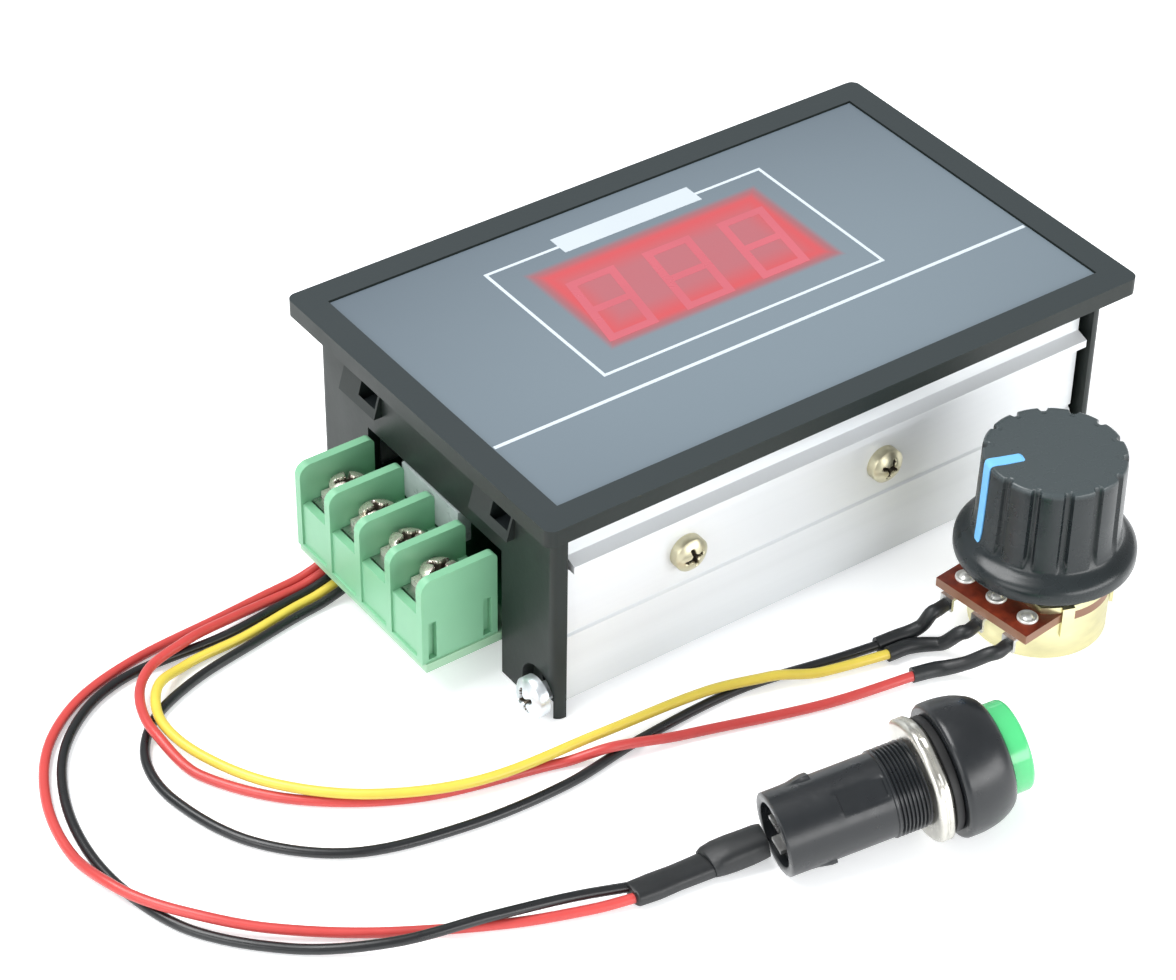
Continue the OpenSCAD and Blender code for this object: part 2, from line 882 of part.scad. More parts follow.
// Flat sleeve over both wires of the switch, up to its lugs.
module sleeve_switch() {
  color([0.22, 0.24, 0.25])
    difference() {
      union() {
        translate(sleeve_start)
          rotate([0, 90, sleeve_turn])
            linear_extrude(height = sleeve_length)
              rounded(sleeve_height, sleeve_width, sleeve_round);
        translate(sleeve_step)
          rotate([0, 90 - sleeve_rise, button_turn])
            linear_extrude(height = sleeve_reach)
              rounded(sleeve_height + 0.2, sleeve_width + 0.4, sleeve_round);
      }
      at_button()
        cylinder(r = 20, h = 20);
    }
}

// Potentiometer

module pot_can() {
  color([0.9, 0.87, 0.65])
    at_pot()
      difference() {
        cylinder(r = can_radius, h = can_height);
        translate([0, 0, can_wall])
          cylinder(r = can_radius - can_wall, h = can_height);
      }
}

module pot_wafer() {
  color([0.42, 0.2, 0.12])
    at_pot()
      rotate([0, 0, lug_turn])
        difference() {
          union() {
            translate([0, 0, can_height])
              cylinder(r = can_radius, h = wafer_thickness);
            block([0, -lug_pitch - 2.2, can_height], [wafer_reach, lug_pitch + 2.2, wafer_top]);
          }
          translate([0, 0, can_height - 1])
            cylinder(r = shaft_radius + 0.4, h = 4);
          for (i = [-1, 0, 1])
            translate([rivet_reach, i * lug_pitch, can_height - 1])
              cylinder(r = 0.8, h = 4);
        }
}

module pot_rivets() {
  color([0.78, 0.78, 0.78])
    at_lugs() {
      translate([rivet_reach, 0, wafer_top])
        cylinder(r = 1.2, h = 0.45);
      translate([rivet_reach, 0, can_height])
        cylinder(r = 0.8, h = wafer_thickness + e);
    }
}

module pot_lugs() {
  color([0.8, 0.8, 0.78])
    at_lugs() {
      block([can_radius + 0.2, -lug_width / 2, can_height - lug_thickness],
        [lug_x, lug_width / 2, can_height]);
      block([lug_x - lug_thickness, -lug_width / 2, lug_tip_z], [lug_x, lug_width / 2, can_height - e]);
    }
}

// Front plate with the bushing that goes through a panel.
module pot_plate() {
  color([0.82, 0.8, 0.7])
    at_pot()
      difference() {
        union() {
          rotate([0, 0, lug_turn])
            translate([0, 0, wafer_top])
              intersection() {
                cylinder(r = can_radius, h = plate_top - wafer_top);
                translate([-2 * can_radius, -can_radius, 0])
                  cube([2 * can_radius + plate_cut, 2 * can_radius, 3]);
              }
          translate([0, 0, plate_top - e])
            cylinder(r = bushing_radius, h = bushing_top - plate_top + e);
          for (a = plate_tabs)
            rotate([0, 0, lug_turn + a]) {
              block([can_radius - 0.6, -tab_width / 2, wafer_top + 0.3],
                [can_radius + tab_gap + tab_thickness, tab_width / 2, plate_top]);
              block([can_radius + tab_gap, -tab_width / 2, tab_foot],
                [can_radius + tab_gap + tab_thickness, tab_width / 2, plate_top]);
            }
        }
        translate([0, 0, wafer_top - 1])
          cylinder(r = shaft_radius + shaft_gap, h = 12);
      }
}

module pot_washer() {
  color([0.75, 0.75, 0.75])
    at_pot()
      ring(5.6, bushing_radius + 0.05, plate_top, washer_top);
}

module pot_nut() {
  color([0.75, 0.75, 0.75])
    at_pot()
      difference() {
        translate([0, 0, washer_top])
          cylinder(r = 5.5, h = nut_top - washer_top, $fn = 6);
        translate([0, 0, washer_top - 1])
          cylinder(r = bushing_radius, h = 4);
      }
}

module pot_shaft() {
  color([0.85, 0.85, 0.83])
    at_pot()
      translate([0, 0, shaft_base])
        cylinder(r = shaft_radius, h = shaft_top - shaft_base);
}

module pot_wiper() {
  color([0.8, 0.65, 0.3])
    at_pot()
      difference() {
        union() {
          translate([0, 0, can_height - 1.6])
            cylinder(r = 4.6, h = 1);
          rotate([0, 0, pointer_turn])
            block([0, -1.2, can_height - 1.6], [6.8, 1.2, can_height - 0.6]);
        }
        translate([0, 0, can_height - 3])
          cylinder(r = shaft_radius, h = 4);
      }
}

module pointer_groove() {
  rotate([0, 0, pointer_turn]) {
    block([knob_grip / 4, -pointer_width / 2, knob_top - pointer_depth],
      [knob_grip / 2 + 2, pointer_width / 2, knob_top + 1]);
    block([knob_grip / 2 - pointer_depth, -pointer_width / 2, grip_z + 0.6],
      [knob_grip / 2 + 2, pointer_width / 2, knob_top]);
  }
}

module knob() {
  color([0.2, 0.22, 0.23])
    at_pot()
      difference() {
        union() {
          translate([0, 0, knob_z])
            cylinder(r = knob_skirt / 2, h = skirt_band);
          translate([0, 0, knob_z + skirt_band - e])
            cylinder(r1 = knob_skirt / 2, r2 = knob_grip / 2, h = grip_z - knob_z - skirt_band + e);
          difference() {
            translate([0, 0, grip_z - e])
              cylinder(r = knob_grip / 2, h = knob_top - grip_z + e);
            for (i = [1 : flute_count - 1])
              rotate([0, 0, pointer_turn + i * 360 / flute_count])
                translate([knob_grip / 2 + 0.15, 0, grip_z])
                  cylinder(r = flute_radius, h = knob_height);
          }
        }
        translate([0, 0, knob_z - 1])
          cylinder(r = bushing_radius + 1, h = bushing_top - knob_z + 1.5);
        translate([0, 0, knob_z - 1])
          cylinder(r = shaft_radius, h = shaft_top - knob_z + 1);
        translate([0, 0, knob_z - 1])
          ring(knob_skirt / 2 - 1.6, bushing_radius + 2.8, 0, 3);
        pointer_groove();
      }
}

module knob_pointer() {
  color([0.55, 0.8, 1])
    at_pot()
      intersection() {
        pointer_groove();
        translate([0, 0, grip_z])
          cylinder(r = knob_grip / 2 + 0.05, h = knob_top - grip_z + 0.05);
      }
}

// Push button

// Snap barb on the barrel: it rises toward the collar and ends in a step.
module barrel_barb() {
  translate([0, barb_width / 2, 0])
    rotate([90, 0, 0])
      linear_extrude(height = barb_width)
        polygon([
          [bore_radius + 0.3, barb_start], [barrel_radius - 0.25, barb_start],
          [barrel_radius + barb_reach, barb_end - 0.3], [barrel_radius + barb_reach, barb_end],
          [bore_radius + 0.3, barb_end]
        ]);
}

module switch_body() {
  color([0.13, 0.14, 0.15])
    at_button()
      difference() {
        union() {
          cylinder(r = barrel_radius, h = thread_start + e);
          translate([0, 0, thread_start])
            cylinder(r = thread_radius, h = collar_start - thread_start + e);
          rotate_extrude()
            polygon([
              [0, collar_start], [collar_radius - collar_lip, collar_start],
              [collar_radius, collar_start + collar_lip], [collar_radius, collar_start + collar_band],
              [collar_radius - 0.4, collar_front - 1.9], [collar_radius - 0.95, collar_front - 0.8],
              [collar_radius - 1.6, collar_front], [0, collar_front]
            ]);
          for (a = [0, 180])
            rotate([0, 0, barb_turn + a])
              barrel_barb();
        }
        for (a = [0, 180])
          rotate([0, 0, flat_turn + a])
            block([flat_reach, -barrel_radius, flat_start],
              [2 * barrel_radius, barrel_radius, thread_start - 0.4]);
        translate([0, 0, -1])
          cylinder(r = bore_radius, h = bore_end + 1);
        cylinder(r = stem_radius + stem_gap, h = cap_front);
        translate([0, 0, spring_start])
          cylinder(r = spring_bore, h = cap_front);
        translate([0, 0, cap_pocket])
          cylinder(r = cap_radius + 0.08, h = cap_front);
      }
}

module switch_base() {
  color([0.16, 0.16, 0.17])
    at_button()
      difference() {
        translate([0, 0, base_start])
          cylinder(r = bore_radius, h = base_length);
        for (sx = [-1, 1])
          block([sx * lug_half_gap - 0.25, -1.2, base_start - 1],
            [sx * lug_half_gap + 0.25, 1.2, base_start + base_length + 1]);
      }
}

module switch_lugs() {
  color([0.8, 0.8, 0.78])
    at_button()
      for (sx = [-1, 1])
        block([sx * lug_half_gap - 0.25, -1.2, 0.1], [sx * lug_half_gap + 0.25, 1.2, contact_z]);
}

module switch_nut() {
  color([0.78, 0.78, 0.76])
    at_button()
      ring(nut_radius, thread_radius + 0.02, nut_start, seal_start);
}

module switch_seal() {
  color([0.1, 0.1, 0.1])
    at_button()
      ring(seal_radius, thread_radius + 0.02, seal_start, collar_start);
}

module switch_spring() {
  color([0.8, 0.8, 0.8])
    at_button()
      ring(spring_radius, spring_radius - 0.5, spring_start, cap_pocket);
}

module button_cap() {
  color([0.4, 0.94, 0.55])
    at_button() {
      translate([0, 0, cap_rear])
        cylinder(r = cap_radius, h = cap_front - 0.5 - cap_rear);
      translate([0, 0, cap_front - 0.5])
        cylinder(r1 = cap_radius, r2 = cap_radius - 0.5, h = 0.5);
    }
}

module button_plunger() {
  color([0.9, 0.9, 0.88])
    at_button()
      translate([0, 0, bridge_rear + bridge_thickness])
        cylinder(r = stem_radius, h = cap_rear - bridge_rear - bridge_thickness);
}

module contact_bridge() {
  color([0.82, 0.6, 0.3])
    at_button()
      translate([0, 0, bridge_rear])
        cylinder(r = 3, h = bridge_thickness);
}

front_shell();
front_label();
display_lens();
display_module();
display_board();
board_header();
main_board();
heat_sink_near();
heat_sink_far();
end_screws();
heat_sink_screws();
transistor_bodies();
transistor_leads();
insulating_pads();
transistor_nuts();
bulk_capacitors();
inductor();
control_chips();
terminal_block();
terminal_bars();
adhesive_bead();
terminal_screw_1();
terminal_screw_2();
terminal_screw_3();
terminal_screw_4();
clamp_plate_1();
clamp_plate_2();
clamp_plate_3();
clamp_plate_4();
wire_pads();
wire_switch_red();
wire_pot_red();
wire_switch_black();
wire_pot_yellow();
wire_pot_black();
sleeve_pot_black();
sleeve_pot_yellow();
sleeve_pot_red();
sleeve_switch();
pot_can();
pot_plate();
pot_wafer();
pot_rivets();
pot_lugs();
pot_washer();
pot_nut();
pot_shaft();
pot_wiper();
knob();
knob_pointer();
switch_body();
switch_base();
switch_lugs();
switch_nut();
switch_seal();
switch_spring();
button_cap();
button_plunger();
contact_bridge();
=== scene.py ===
import bpy
import math
from mathutils import Matrix, Vector


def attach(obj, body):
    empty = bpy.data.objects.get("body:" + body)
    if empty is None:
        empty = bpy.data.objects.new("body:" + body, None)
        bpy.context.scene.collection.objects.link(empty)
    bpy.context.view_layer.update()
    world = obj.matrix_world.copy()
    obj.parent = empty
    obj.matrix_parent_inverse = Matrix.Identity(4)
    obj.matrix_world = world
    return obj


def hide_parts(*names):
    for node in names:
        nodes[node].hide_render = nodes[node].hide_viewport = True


# Sizes and places are millimetres in the CAD's frame. Camera, materials, floor and lamps are in metres.
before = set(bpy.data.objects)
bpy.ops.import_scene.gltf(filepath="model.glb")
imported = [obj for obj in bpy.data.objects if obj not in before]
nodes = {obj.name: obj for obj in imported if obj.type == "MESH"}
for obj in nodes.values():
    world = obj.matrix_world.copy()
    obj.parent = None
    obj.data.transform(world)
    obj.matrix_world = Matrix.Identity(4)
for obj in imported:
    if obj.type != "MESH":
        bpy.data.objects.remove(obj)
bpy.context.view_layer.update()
MM = 0.001
scene = bpy.context.scene
scene.view_settings.view_transform = "Standard"

# Camera, solved from the straight edges in the photograph
PHOTO_WIDTH = 1176
LENS_PIXELS = 3390.8
SENSOR_WIDTH = 36
CAMERA_PLACE = (-0.2038, -0.2554, 0.2572)
CAMERA_AIM = (-0.0345, -0.0227, 0.0299)
CAMERA_ROLL = 0.89


def place_camera():
    eye = Vector(CAMERA_PLACE)
    look = (Vector(CAMERA_AIM) - eye).normalized()
    level = look.cross(Vector((0, 0, 1))).normalized()
    up = level.cross(look)
    roll = math.radians(CAMERA_ROLL)
    right = level * math.cos(roll) + up * math.sin(roll)
    lit_top_share = right.cross(look)
    data = bpy.data.cameras.new("camera")
    data.sensor_fit = "HORIZONTAL"
    data.sensor_width = SENSOR_WIDTH
    data.lens = LENS_PIXELS / PHOTO_WIDTH * SENSOR_WIDTH
    data.clip_start = 0.01
    data.clip_end = 20
    camera = bpy.data.objects.new("camera", data)
    scene.collection.objects.link(camera)
    turn = Matrix((right, lit_top_share, -look)).transposed().to_4x4()
    camera.matrix_world = Matrix.Translation(eye) @ turn
    scene.camera = camera


place_camera()


# Node helpers. A value is a number or the output socket of another node.
def principled(name):
    """A new material with its node tree and its shader."""
    material = bpy.data.materials.new(name)
    material.use_nodes = True
    tree = material.node_tree
    return material, tree, tree.nodes["Principled BSDF"]


def feed(tree, value, socket):
    """Link a value into a socket, or set the socket to it."""
    if isinstance(value, bpy.types.NodeSocket):
        tree.links.new(value, socket)
    else:
        socket.default_value = value


def maths(tree, operation, *values):
    node = tree.nodes.new("ShaderNodeMath")
    node.operation = operation
    for value, socket in zip(values, node.inputs):
        feed(tree, value, socket)
    return node.outputs[0]


def rescale(tree, value, start, end, low=0.0, high=1.0, kind="LINEAR"):
    """The range from start to end drawn out to the range from low to high."""
    node = tree.nodes.new("ShaderNodeMapRange")
    node.interpolation_type = kind
    for name, number in (("From Min", start), ("From Max", end), ("To Min", low), ("To Max", high)):
        node.inputs[name].default_value = number
    tree.links.new(value, node.inputs["Value"])
    return node.outputs["Result"]


def coordinates(tree, space="Object"):
    """The X, Y and Z of a texture space."""
    texture = tree.nodes.new("ShaderNodeTexCoord")
    parts = tree.nodes.new("ShaderNodeSeparateXYZ")
    tree.links.new(texture.outputs[space], parts.inputs["Vector"])
    return parts.outputs


def noise(tree, scale, detail, stretch=(1, 1, 1)):
    texture = tree.nodes.new("ShaderNodeTexCoord")
    mapping = tree.nodes.new("ShaderNodeMapping")
    mapping.inputs["Scale"].default_value = stretch
    node = tree.nodes.new("ShaderNodeTexNoise")
    node.inputs["Scale"].default_value = scale
    node.inputs["Detail"].default_value = detail
    node.inputs["Roughness"].default_value = 0.55
    tree.links.new(texture.outputs["Object"], mapping.inputs["Vector"])
    tree.links.new(mapping.outputs["Vector"], node.inputs["Vector"])
    return node.outputs["Fac"]


def ramp(tree, value, low, high, start=0.3, end=0.7):
    node = tree.nodes.new("ShaderNodeValToRGB")
    elements = node.color_ramp.elements
    elements[0].position = start
    elements[1].position = end
    elements[0].color = (*low, 1)
    elements[1].color = (*high, 1)
    tree.links.new(value, node.inputs["Fac"])
    return node.outputs["Color"]


def linear(rgb):
    """Display values 0 to 255 as scene-linear colour."""
    out = []
    for value in rgb:
        value = value / 255
        out.append(value / 12.92 if value <= 0.04045 else ((value + 0.055) / 1.055) ** 2.4)
    return tuple(out)


def blend(tree, share, first, second):
    """Mix of two colours, each a socket or display values."""
    node = tree.nodes.new("ShaderNodeMix")
    node.data_type = "RGBA"
    tree.links.new(share, node.inputs["Factor"])
    for colour, place in ((first, 6), (second, 7)):
        feed(tree, (*linear(colour), 1) if isinstance(colour, tuple) else colour, node.inputs[place])
    return node.outputs[2]


def curved(tree, value, square, slope, rest):
    """square * value * value + slope * value + rest."""
    inner = maths(tree, "MULTIPLY_ADD", value, square, slope)
    return maths(tree, "MULTIPLY_ADD", inner, value, rest)


def two_tone(tree, dark, pale, scale):
    """Display values that wander from one colour to another."""
    return ramp(tree, noise(tree, scale, 4), linear(dark), linear(pale))


def uneven(tree, rgb, vary, scale, stretch=(1, 1, 1)):
    """A colour that is patchily darker and paler by a share of itself."""
    colour = linear(rgb)
    dark = [value * (1 - vary) for value in colour]
    pale = [min(1, value * (1 + vary)) for value in colour]
    return ramp(tree, noise(tree, scale, 4, stretch), dark, pale)


def colour_by(tree, shader, colour):
    tree.links.new(colour, shader.inputs["Base Color"])


def roughen(tree, shader, scale, low, high, stretch=(1, 1, 1)):
    """Roughness that wanders between two values."""
    patches = noise(tree, scale, 3, stretch)
    tree.links.new(rescale(tree, patches, 0.25, 0.75, low, high), shader.inputs["Roughness"])


def emboss(tree, shader, scale, strength, depth, stretch=(1, 1, 1)):
    """A fine grain in the surface."""
    node = tree.nodes.new("ShaderNodeBump")
    node.inputs["Strength"].default_value = strength
    node.inputs["Distance"].default_value = depth
    tree.links.new(noise(tree, scale, 2, stretch), node.inputs["Height"])
    tree.links.new(node.outputs["Normal"], shader.inputs["Normal"])


# General materials
def plastic(name, rgb, rough=0.42, vary=0.06, patch=60, grain=900, depth=0.00003, coat=0.0, scatter=0.0):
    material, tree, shader = principled(name)
    colour_by(tree, shader, uneven(tree, rgb, vary, patch))
    roughen(tree, shader, patch * 2.3, rough - 0.05, rough + 0.06)
    if coat:
        shader.inputs["Coat Weight"].default_value = coat
        shader.inputs["Coat Roughness"].default_value = 0.12
    if scatter:
        shader.inputs["Subsurface Weight"].default_value = scatter
        shader.inputs["Subsurface Radius"].default_value = (0.001, 0.001, 0.001)
        shader.inputs["Subsurface Scale"].default_value = 0.5
    emboss(tree, shader, grain, 0.25, depth)
    return material


def metal(name, rgb, rough=0.3, vary=0.08, patch=120, grain=700, depth=0.00001, strength=0.2, metallic=1.0,
          stretch=(1, 1, 1)):
    material, tree, shader = principled(name)
    colour_by(tree, shader, uneven(tree, rgb, vary, patch, stretch))
    roughen(tree, shader, grain, rough - 0.07, rough + 0.08, stretch)
    shader.inputs["Metallic"].default_value = metallic
    emboss(tree, shader, grain, strength, depth, stretch)
    return material


# Label and window, which share the window's border
WINDOW_SIDES = (("X", 0.0, 0.0163), ("Y", 0.0059, 0.0081))
WINDOW_EDGE = (-0.0001, 0.0011)
WINDOW_BORDER = (-0.0013, 0.0001)
WINDOW_MILK = (-0.0052, -0.0006)
WINDOW_GLOW = (146, 92, 98)


def past_window(tree, axes, inner, outer):
    """0 inside the display window and 1 outside it, soft between two distances from its border."""
    reach = []
    for name, middle, half in WINDOW_SIDES:
        distance = maths(tree, "ABSOLUTE", maths(tree, "SUBTRACT", axes[name], middle))
        reach.append(rescale(tree, distance, half + inner, half + outer, kind="SMOOTHSTEP"))
    return maths(tree, "MAXIMUM", *reach)


def film_colour_and_painted_shading(tree, axes):
    """Grey-blue of the printed film, with painted light and shade: palest left of the middle, painted shade
    to the far side and the right.
    """
    along_x = curved(tree, axes["X"], -170.0, 1.5, 0.87)
    along_y = curved(tree, axes["Y"], -570.0, -10.0, along_x)
    patchy = maths(tree, "MULTIPLY_ADD", noise(tree, 40, 4), 0.12, along_y)
    return ramp(tree, patchy, linear((88, 99, 108)), linear((112, 125, 134)), 0.0, 1.0)


def label_film():
    """Grey-blue film with painted shading across it, warmer just outside the display window."""
    material, tree, shader = principled("label_film")
    axes = coordinates(tree)
    outside = past_window(tree, axes, *WINDOW_EDGE)
    colour_by(tree, shader, blend(tree, outside, WINDOW_GLOW, film_colour_and_painted_shading(tree, axes)))
    roughen(tree, shader, 140, 0.3, 0.38)
    shader.inputs["Specular IOR Level"].default_value = 0.4
    emboss(tree, shader, 2500, 0.2, 0.00001)
    return material


def red_window():
    """Dull red film: brighter near its border, milky in the middle, grey where it ends."""
    material, tree, shader = principled("red_window")
    axes = coordinates(tree)
    near_border = past_window(tree, axes, *WINDOW_MILK)
    patchy = maths(tree, "MULTIPLY_ADD", noise(tree, 260, 4), 0.18, near_border)
    red = ramp(tree, patchy, linear((162, 94, 101)), linear((184, 76, 81)), 0.05, 1.0)
    inner = blend(tree, past_window(tree, axes, *WINDOW_BORDER), red, WINDOW_GLOW)
    outside = past_window(tree, axes, *WINDOW_EDGE)
    colour_by(tree, shader, blend(tree, outside, inner, film_colour_and_painted_shading(tree, axes)))
    shader.inputs["Roughness"].default_value = 0.3
    shader.inputs["Specular IOR Level"].default_value = 0.4
    emboss(tree, shader, 3000, 0.2, 0.000004)
    return material


# Materials that change over their piece, with the places of the change
TONGUE_FADE = (-0.037, -0.039)
# Heights where the knob's top turns greyer: painted light from above
KNOB_LIT_TOP_FADE = (0.0232, 0.0238)


def board_mask():
    """Green solder mask, pale on the tongue that stands out of the end wall."""
    material, tree, shader = principled("solder_mask")
    tongue_share = rescale(tree, coordinates(tree)["X"], *TONGUE_FADE)
    patchy = maths(tree, "MULTIPLY_ADD", noise(tree, 500, 3), 0.2, tongue_share)
    colour_by(tree, shader, ramp(tree, patchy, linear((22, 74, 44)), linear((150, 192, 160)), 0.1, 1.05))
    roughen(tree, shader, 300, 0.28, 0.38)
    emboss(tree, shader, 1200, 0.2, 0.00002)
    return material


def knob_plastic():
    """Glossy dark sides and a greyer top, the grey of the top a painted light from above."""
    material, tree, shader = principled("knob_plastic")
    side = two_tone(tree, (26, 32, 34), (32, 38, 40), 200)
    lit_top_share = rescale(tree, coordinates(tree)["Z"], *KNOB_LIT_TOP_FADE)
    colour_by(tree, shader, blend(tree, lit_top_share, side, (62, 70, 72)))
    roughen(tree, shader, 420, 0.22, 0.34)
    shader.inputs["Specular IOR Level"].default_value = 0.4
    emboss(tree, shader, 900, 0.12, 0.00002)
    return material


def shell_plastic():
    """Black moulding with a fine grain, painted greyer where it faces up: painted light from above."""
    material, tree, shader = principled("shell_plastic")
    side = two_tone(tree, (26, 33, 31), (30, 37, 35), 60)
    up_facing_light = rescale(tree, coordinates(tree, "Normal")["Z"], 0.25, 0.75)
    colour_by(tree, shader, blend(tree, up_facing_light, side, (48, 55, 57)))
    roughen(tree, shader, 140, 0.4, 0.51)
    shader.inputs["Specular IOR Level"].default_value = 0.3
    emboss(tree, shader, 1500, 0.25, 0.00004)
    return material


def phenolic():
    """Red-brown sheet with paler cut edges."""
    material, tree, shader = principled("phenolic_wafer")
    flatness = maths(tree, "ABSOLUTE", coordinates(tree, "Normal")["Z"])
    face = two_tone(tree, (76, 24, 14), (120, 46, 24), 700)
    colour_by(tree, shader, blend(tree, flatness, (136, 98, 76), face))
    shader.inputs["Roughness"].default_value = 0.4
    emboss(tree, shader, 2600, 0.25, 0.00003)
    return material


materials = {
    "shell": shell_plastic(),
    "label": label_film(),
    "white": plastic("label_white", (196, 205, 212), rough=0.4, vary=0.02),
    "white_block": plastic("label_white_block", (187, 196, 202), rough=0.4, vary=0.02),
    "window": red_window(),
    "digit": plastic("red_digit", (184, 90, 101), rough=0.3, vary=0.05, patch=90),
    "alu": metal("aluminium_extruded", (222, 225, 227), rough=0.36, vary=0.03, patch=60, grain=160,
                 depth=0.00002, strength=0.12, metallic=0.25, stretch=(0.06, 1, 6)),
    "nickel": metal("nickel_plate", (205, 206, 202), rough=0.24, vary=0.1, patch=500),
    "steel": metal("bright_steel", (214, 216, 218), rough=0.2, vary=0.06, patch=400),
    "ring": metal("nickel_ring", (204, 202, 194), vary=0.1, patch=400),
    "dull": metal("dull_nickel", (220, 212, 200), rough=0.24, vary=0.18, patch=900, grain=2000, metallic=0.8),
    # Dark metal in the screws' cross recesses: painted shade
    "recess": metal("screw_recess", (92, 84, 74), rough=0.4, vary=0.3, patch=1500, metallic=0.7),
    "screw": metal("screw_zinc", (214, 220, 224), rough=0.34, vary=0.12, patch=700, metallic=0.75),
    "rivet": metal("rivet_tin", (226, 226, 222), rough=0.34, patch=900, metallic=0.45),
    "plate": metal("plate_nickel", (224, 222, 212), vary=0.12, patch=900, metallic=0.5),
    "yellow": metal("yellow_zinc", (200, 194, 166), rough=0.36, vary=0.1, patch=500),
    "can": metal("zinc_can", (226, 220, 176), rough=0.36, patch=220, stretch=(1, 1, 3)),
    "tin": metal("tin", (200, 200, 198), vary=0.14, patch=900),
    "green": plastic("green_polyamide", (124, 182, 145), rough=0.4, grain=1600, scatter=0.04),
    "black": plastic("black_moulding", (28, 30, 31), rough=0.36, vary=0.12),
    "board": board_mask(),
    "glue": plastic("hot_glue", (158, 170, 168), rough=0.3, vary=0.16, patch=300, grain=300, depth=0.0001,
                    scatter=0.3),
    "red_wire": plastic("red_insulation", (190, 66, 63), rough=0.34, patch=300),
    "black_wire": plastic("black_insulation", (22, 24, 26), rough=0.3, vary=0.1, patch=300),
    "yellow_wire": plastic("yellow_insulation", (214, 193, 74), rough=0.34, vary=0.05, patch=300),
    "sleeve": plastic("shrink_sleeve", (19, 22, 24), rough=0.46, vary=0.14, patch=500, grain=700,
                      depth=0.00006),
    "phenolic": phenolic(),
    "knob": knob_plastic(),
    "pointer": plastic("pointer_blue", (112, 182, 236), rough=0.4, vary=0.05),
    "switch": plastic("switch_black", (24, 27, 30), rough=0.3, vary=0.1, patch=250),
    "rubber": plastic("rubber_seal", (24, 24, 25), rough=0.55, vary=0.1),
    "cap": plastic("green_cap", (74, 190, 118), rough=0.22, vary=0.05, coat=0.4, scatter=0.15),
    "copper": metal("copper_wire", (200, 120, 80), vary=0.15, patch=800),
    "can_sleeve": plastic("capacitor_sleeve", (28, 34, 62), rough=0.25, vary=0.08),
    "pad": plastic("silicone_pad", (150, 160, 170), rough=0.6, vary=0.08),
    "brass": metal("brass", (214, 176, 96), vary=0.1),
    "ivory": plastic("ivory_moulding", (226, 224, 214), rough=0.4, vary=0.04),
}


# Makers. A shape is a list of points in millimetres and a list of faces. Smoothing angles are degrees.
BEVEL_ANGLE = 40
NODE_SMOOTH = 35
OVAL_POWER = 0.75


def clamp(value):
    return min(1, max(0, value))


def link(thing):
    scene.collection.objects.link(thing)
    return thing


def shade(thing, smooth, bevel=0.0, segments=2):
    """Smooth shading up to an angle in degrees, and bevelled edges where a width is given."""
    if bevel:
        edges = thing.modifiers.new("edges", "BEVEL")
        edges.width = bevel * MM
        edges.segments = segments
        edges.limit_method = "ANGLE"
        edges.angle_limit = math.radians(BEVEL_ANGLE)
        edges.harden_normals = False
    for face in thing.data.polygons:
        face.use_smooth = True
    normals = thing.modifiers.new("shade", "WEIGHTED_NORMAL")
    normals.keep_sharp = True
    thing.data.set_sharp_from_angle(angle=math.radians(smooth))


def piece(name, shape, material, body, smooth, replaced=()):
    """A new piece that rides on a body."""
    points, faces = shape
    data = bpy.data.meshes.new(name)
    data.from_pydata([tuple(Vector(point) * MM) for point in points], [], faces)
    data.validate()
    data.update()
    made = link(bpy.data.objects.new(name, data))
    data.materials.append(materials[material])
    shade(made, smooth)
    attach(made, body)
    if replaced:
        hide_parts(*replaced)
    return made


def dress(name, material, bevel=0.0, segments=2):
    """Material and soft edges for a CAD node whose shape is right."""
    node = nodes[name]
    node.data.materials.clear()
    node.data.materials.append(materials[material])
    shade(node, NODE_SMOOTH, bevel, segments)


def quads(rows, sides, flip=False):
    """Faces between rings of points that follow one another."""
    faces = []
    for row in range(rows - 1):
        low = row * sides
        high = low + sides
        for k in range(sides):
            j = (k + 1) % sides
            if flip:
                faces.append((low + k, high + k, high + j, low + j))
            else:
                faces.append((low + k, low + j, high + j, high + k))
    return faces


def cap(first, sides, flip=False):
    """One face over the ring that begins at a point's number."""
    ring = range(first, first + sides)
    return tuple(reversed(ring)) if flip else tuple(ring)


def turned(profile, sides, form):
    """Points of a profile of radius and height, turned about Z. A form changes the radius."""
    points = []
    for radius, z in profile:
        for k in range(sides):
            angle = 2 * math.pi * k / sides
            reach = form(radius, z, angle) if form else radius
            points.append((reach * math.cos(angle), reach * math.sin(angle), z))
    return points


def lathe(profile, sides, form=None):
    """A profile turned about Z, with a cap on both ends."""
    rows = len(profile)
    caps = [cap(0, sides, flip=True), cap((rows - 1) * sides, sides)]
    return turned(profile, sides, form), quads(rows, sides) + caps


def loop_lathe(profile, sides, form):
    """A closed profile turned about Z: a hollow piece without caps."""
    rows = len(profile)
    last = (rows - 1) * sides
    faces = quads(rows, sides)
    for k in range(sides):
        j = (k + 1) % sides
        faces.append((last + k, last + j, j, k))
    return turned(profile, sides, form), faces


def oval_sweep(rings, sides=24):
    """A flat tube through rings, each a place, a width and a height."""
    points = []
    last = len(rings) - 1
    for i, (at, width, height) in enumerate(rings):
        before = Vector(rings[max(0, i - 1)][0])
        after = Vector(rings[min(last, i + 1)][0])
        ahead = (after - before).normalized()
        side = ahead.cross(Vector((0, 0, 1))).normalized()
        rise = side.cross(ahead)
        for k in range(sides):
            angle = 2 * math.pi * k / sides
            c, s = math.cos(angle), math.sin(angle)
            x = math.copysign(abs(c) ** OVAL_POWER, c) * width / 2
            y = math.copysign(abs(s) ** OVAL_POWER, s) * height / 2
            points.append(tuple(Vector(at) + side * x + rise * y))
    caps = [cap(0, sides), cap(last * sides, sides, flip=True)]
    return points, quads(len(rings), sides, flip=True) + caps


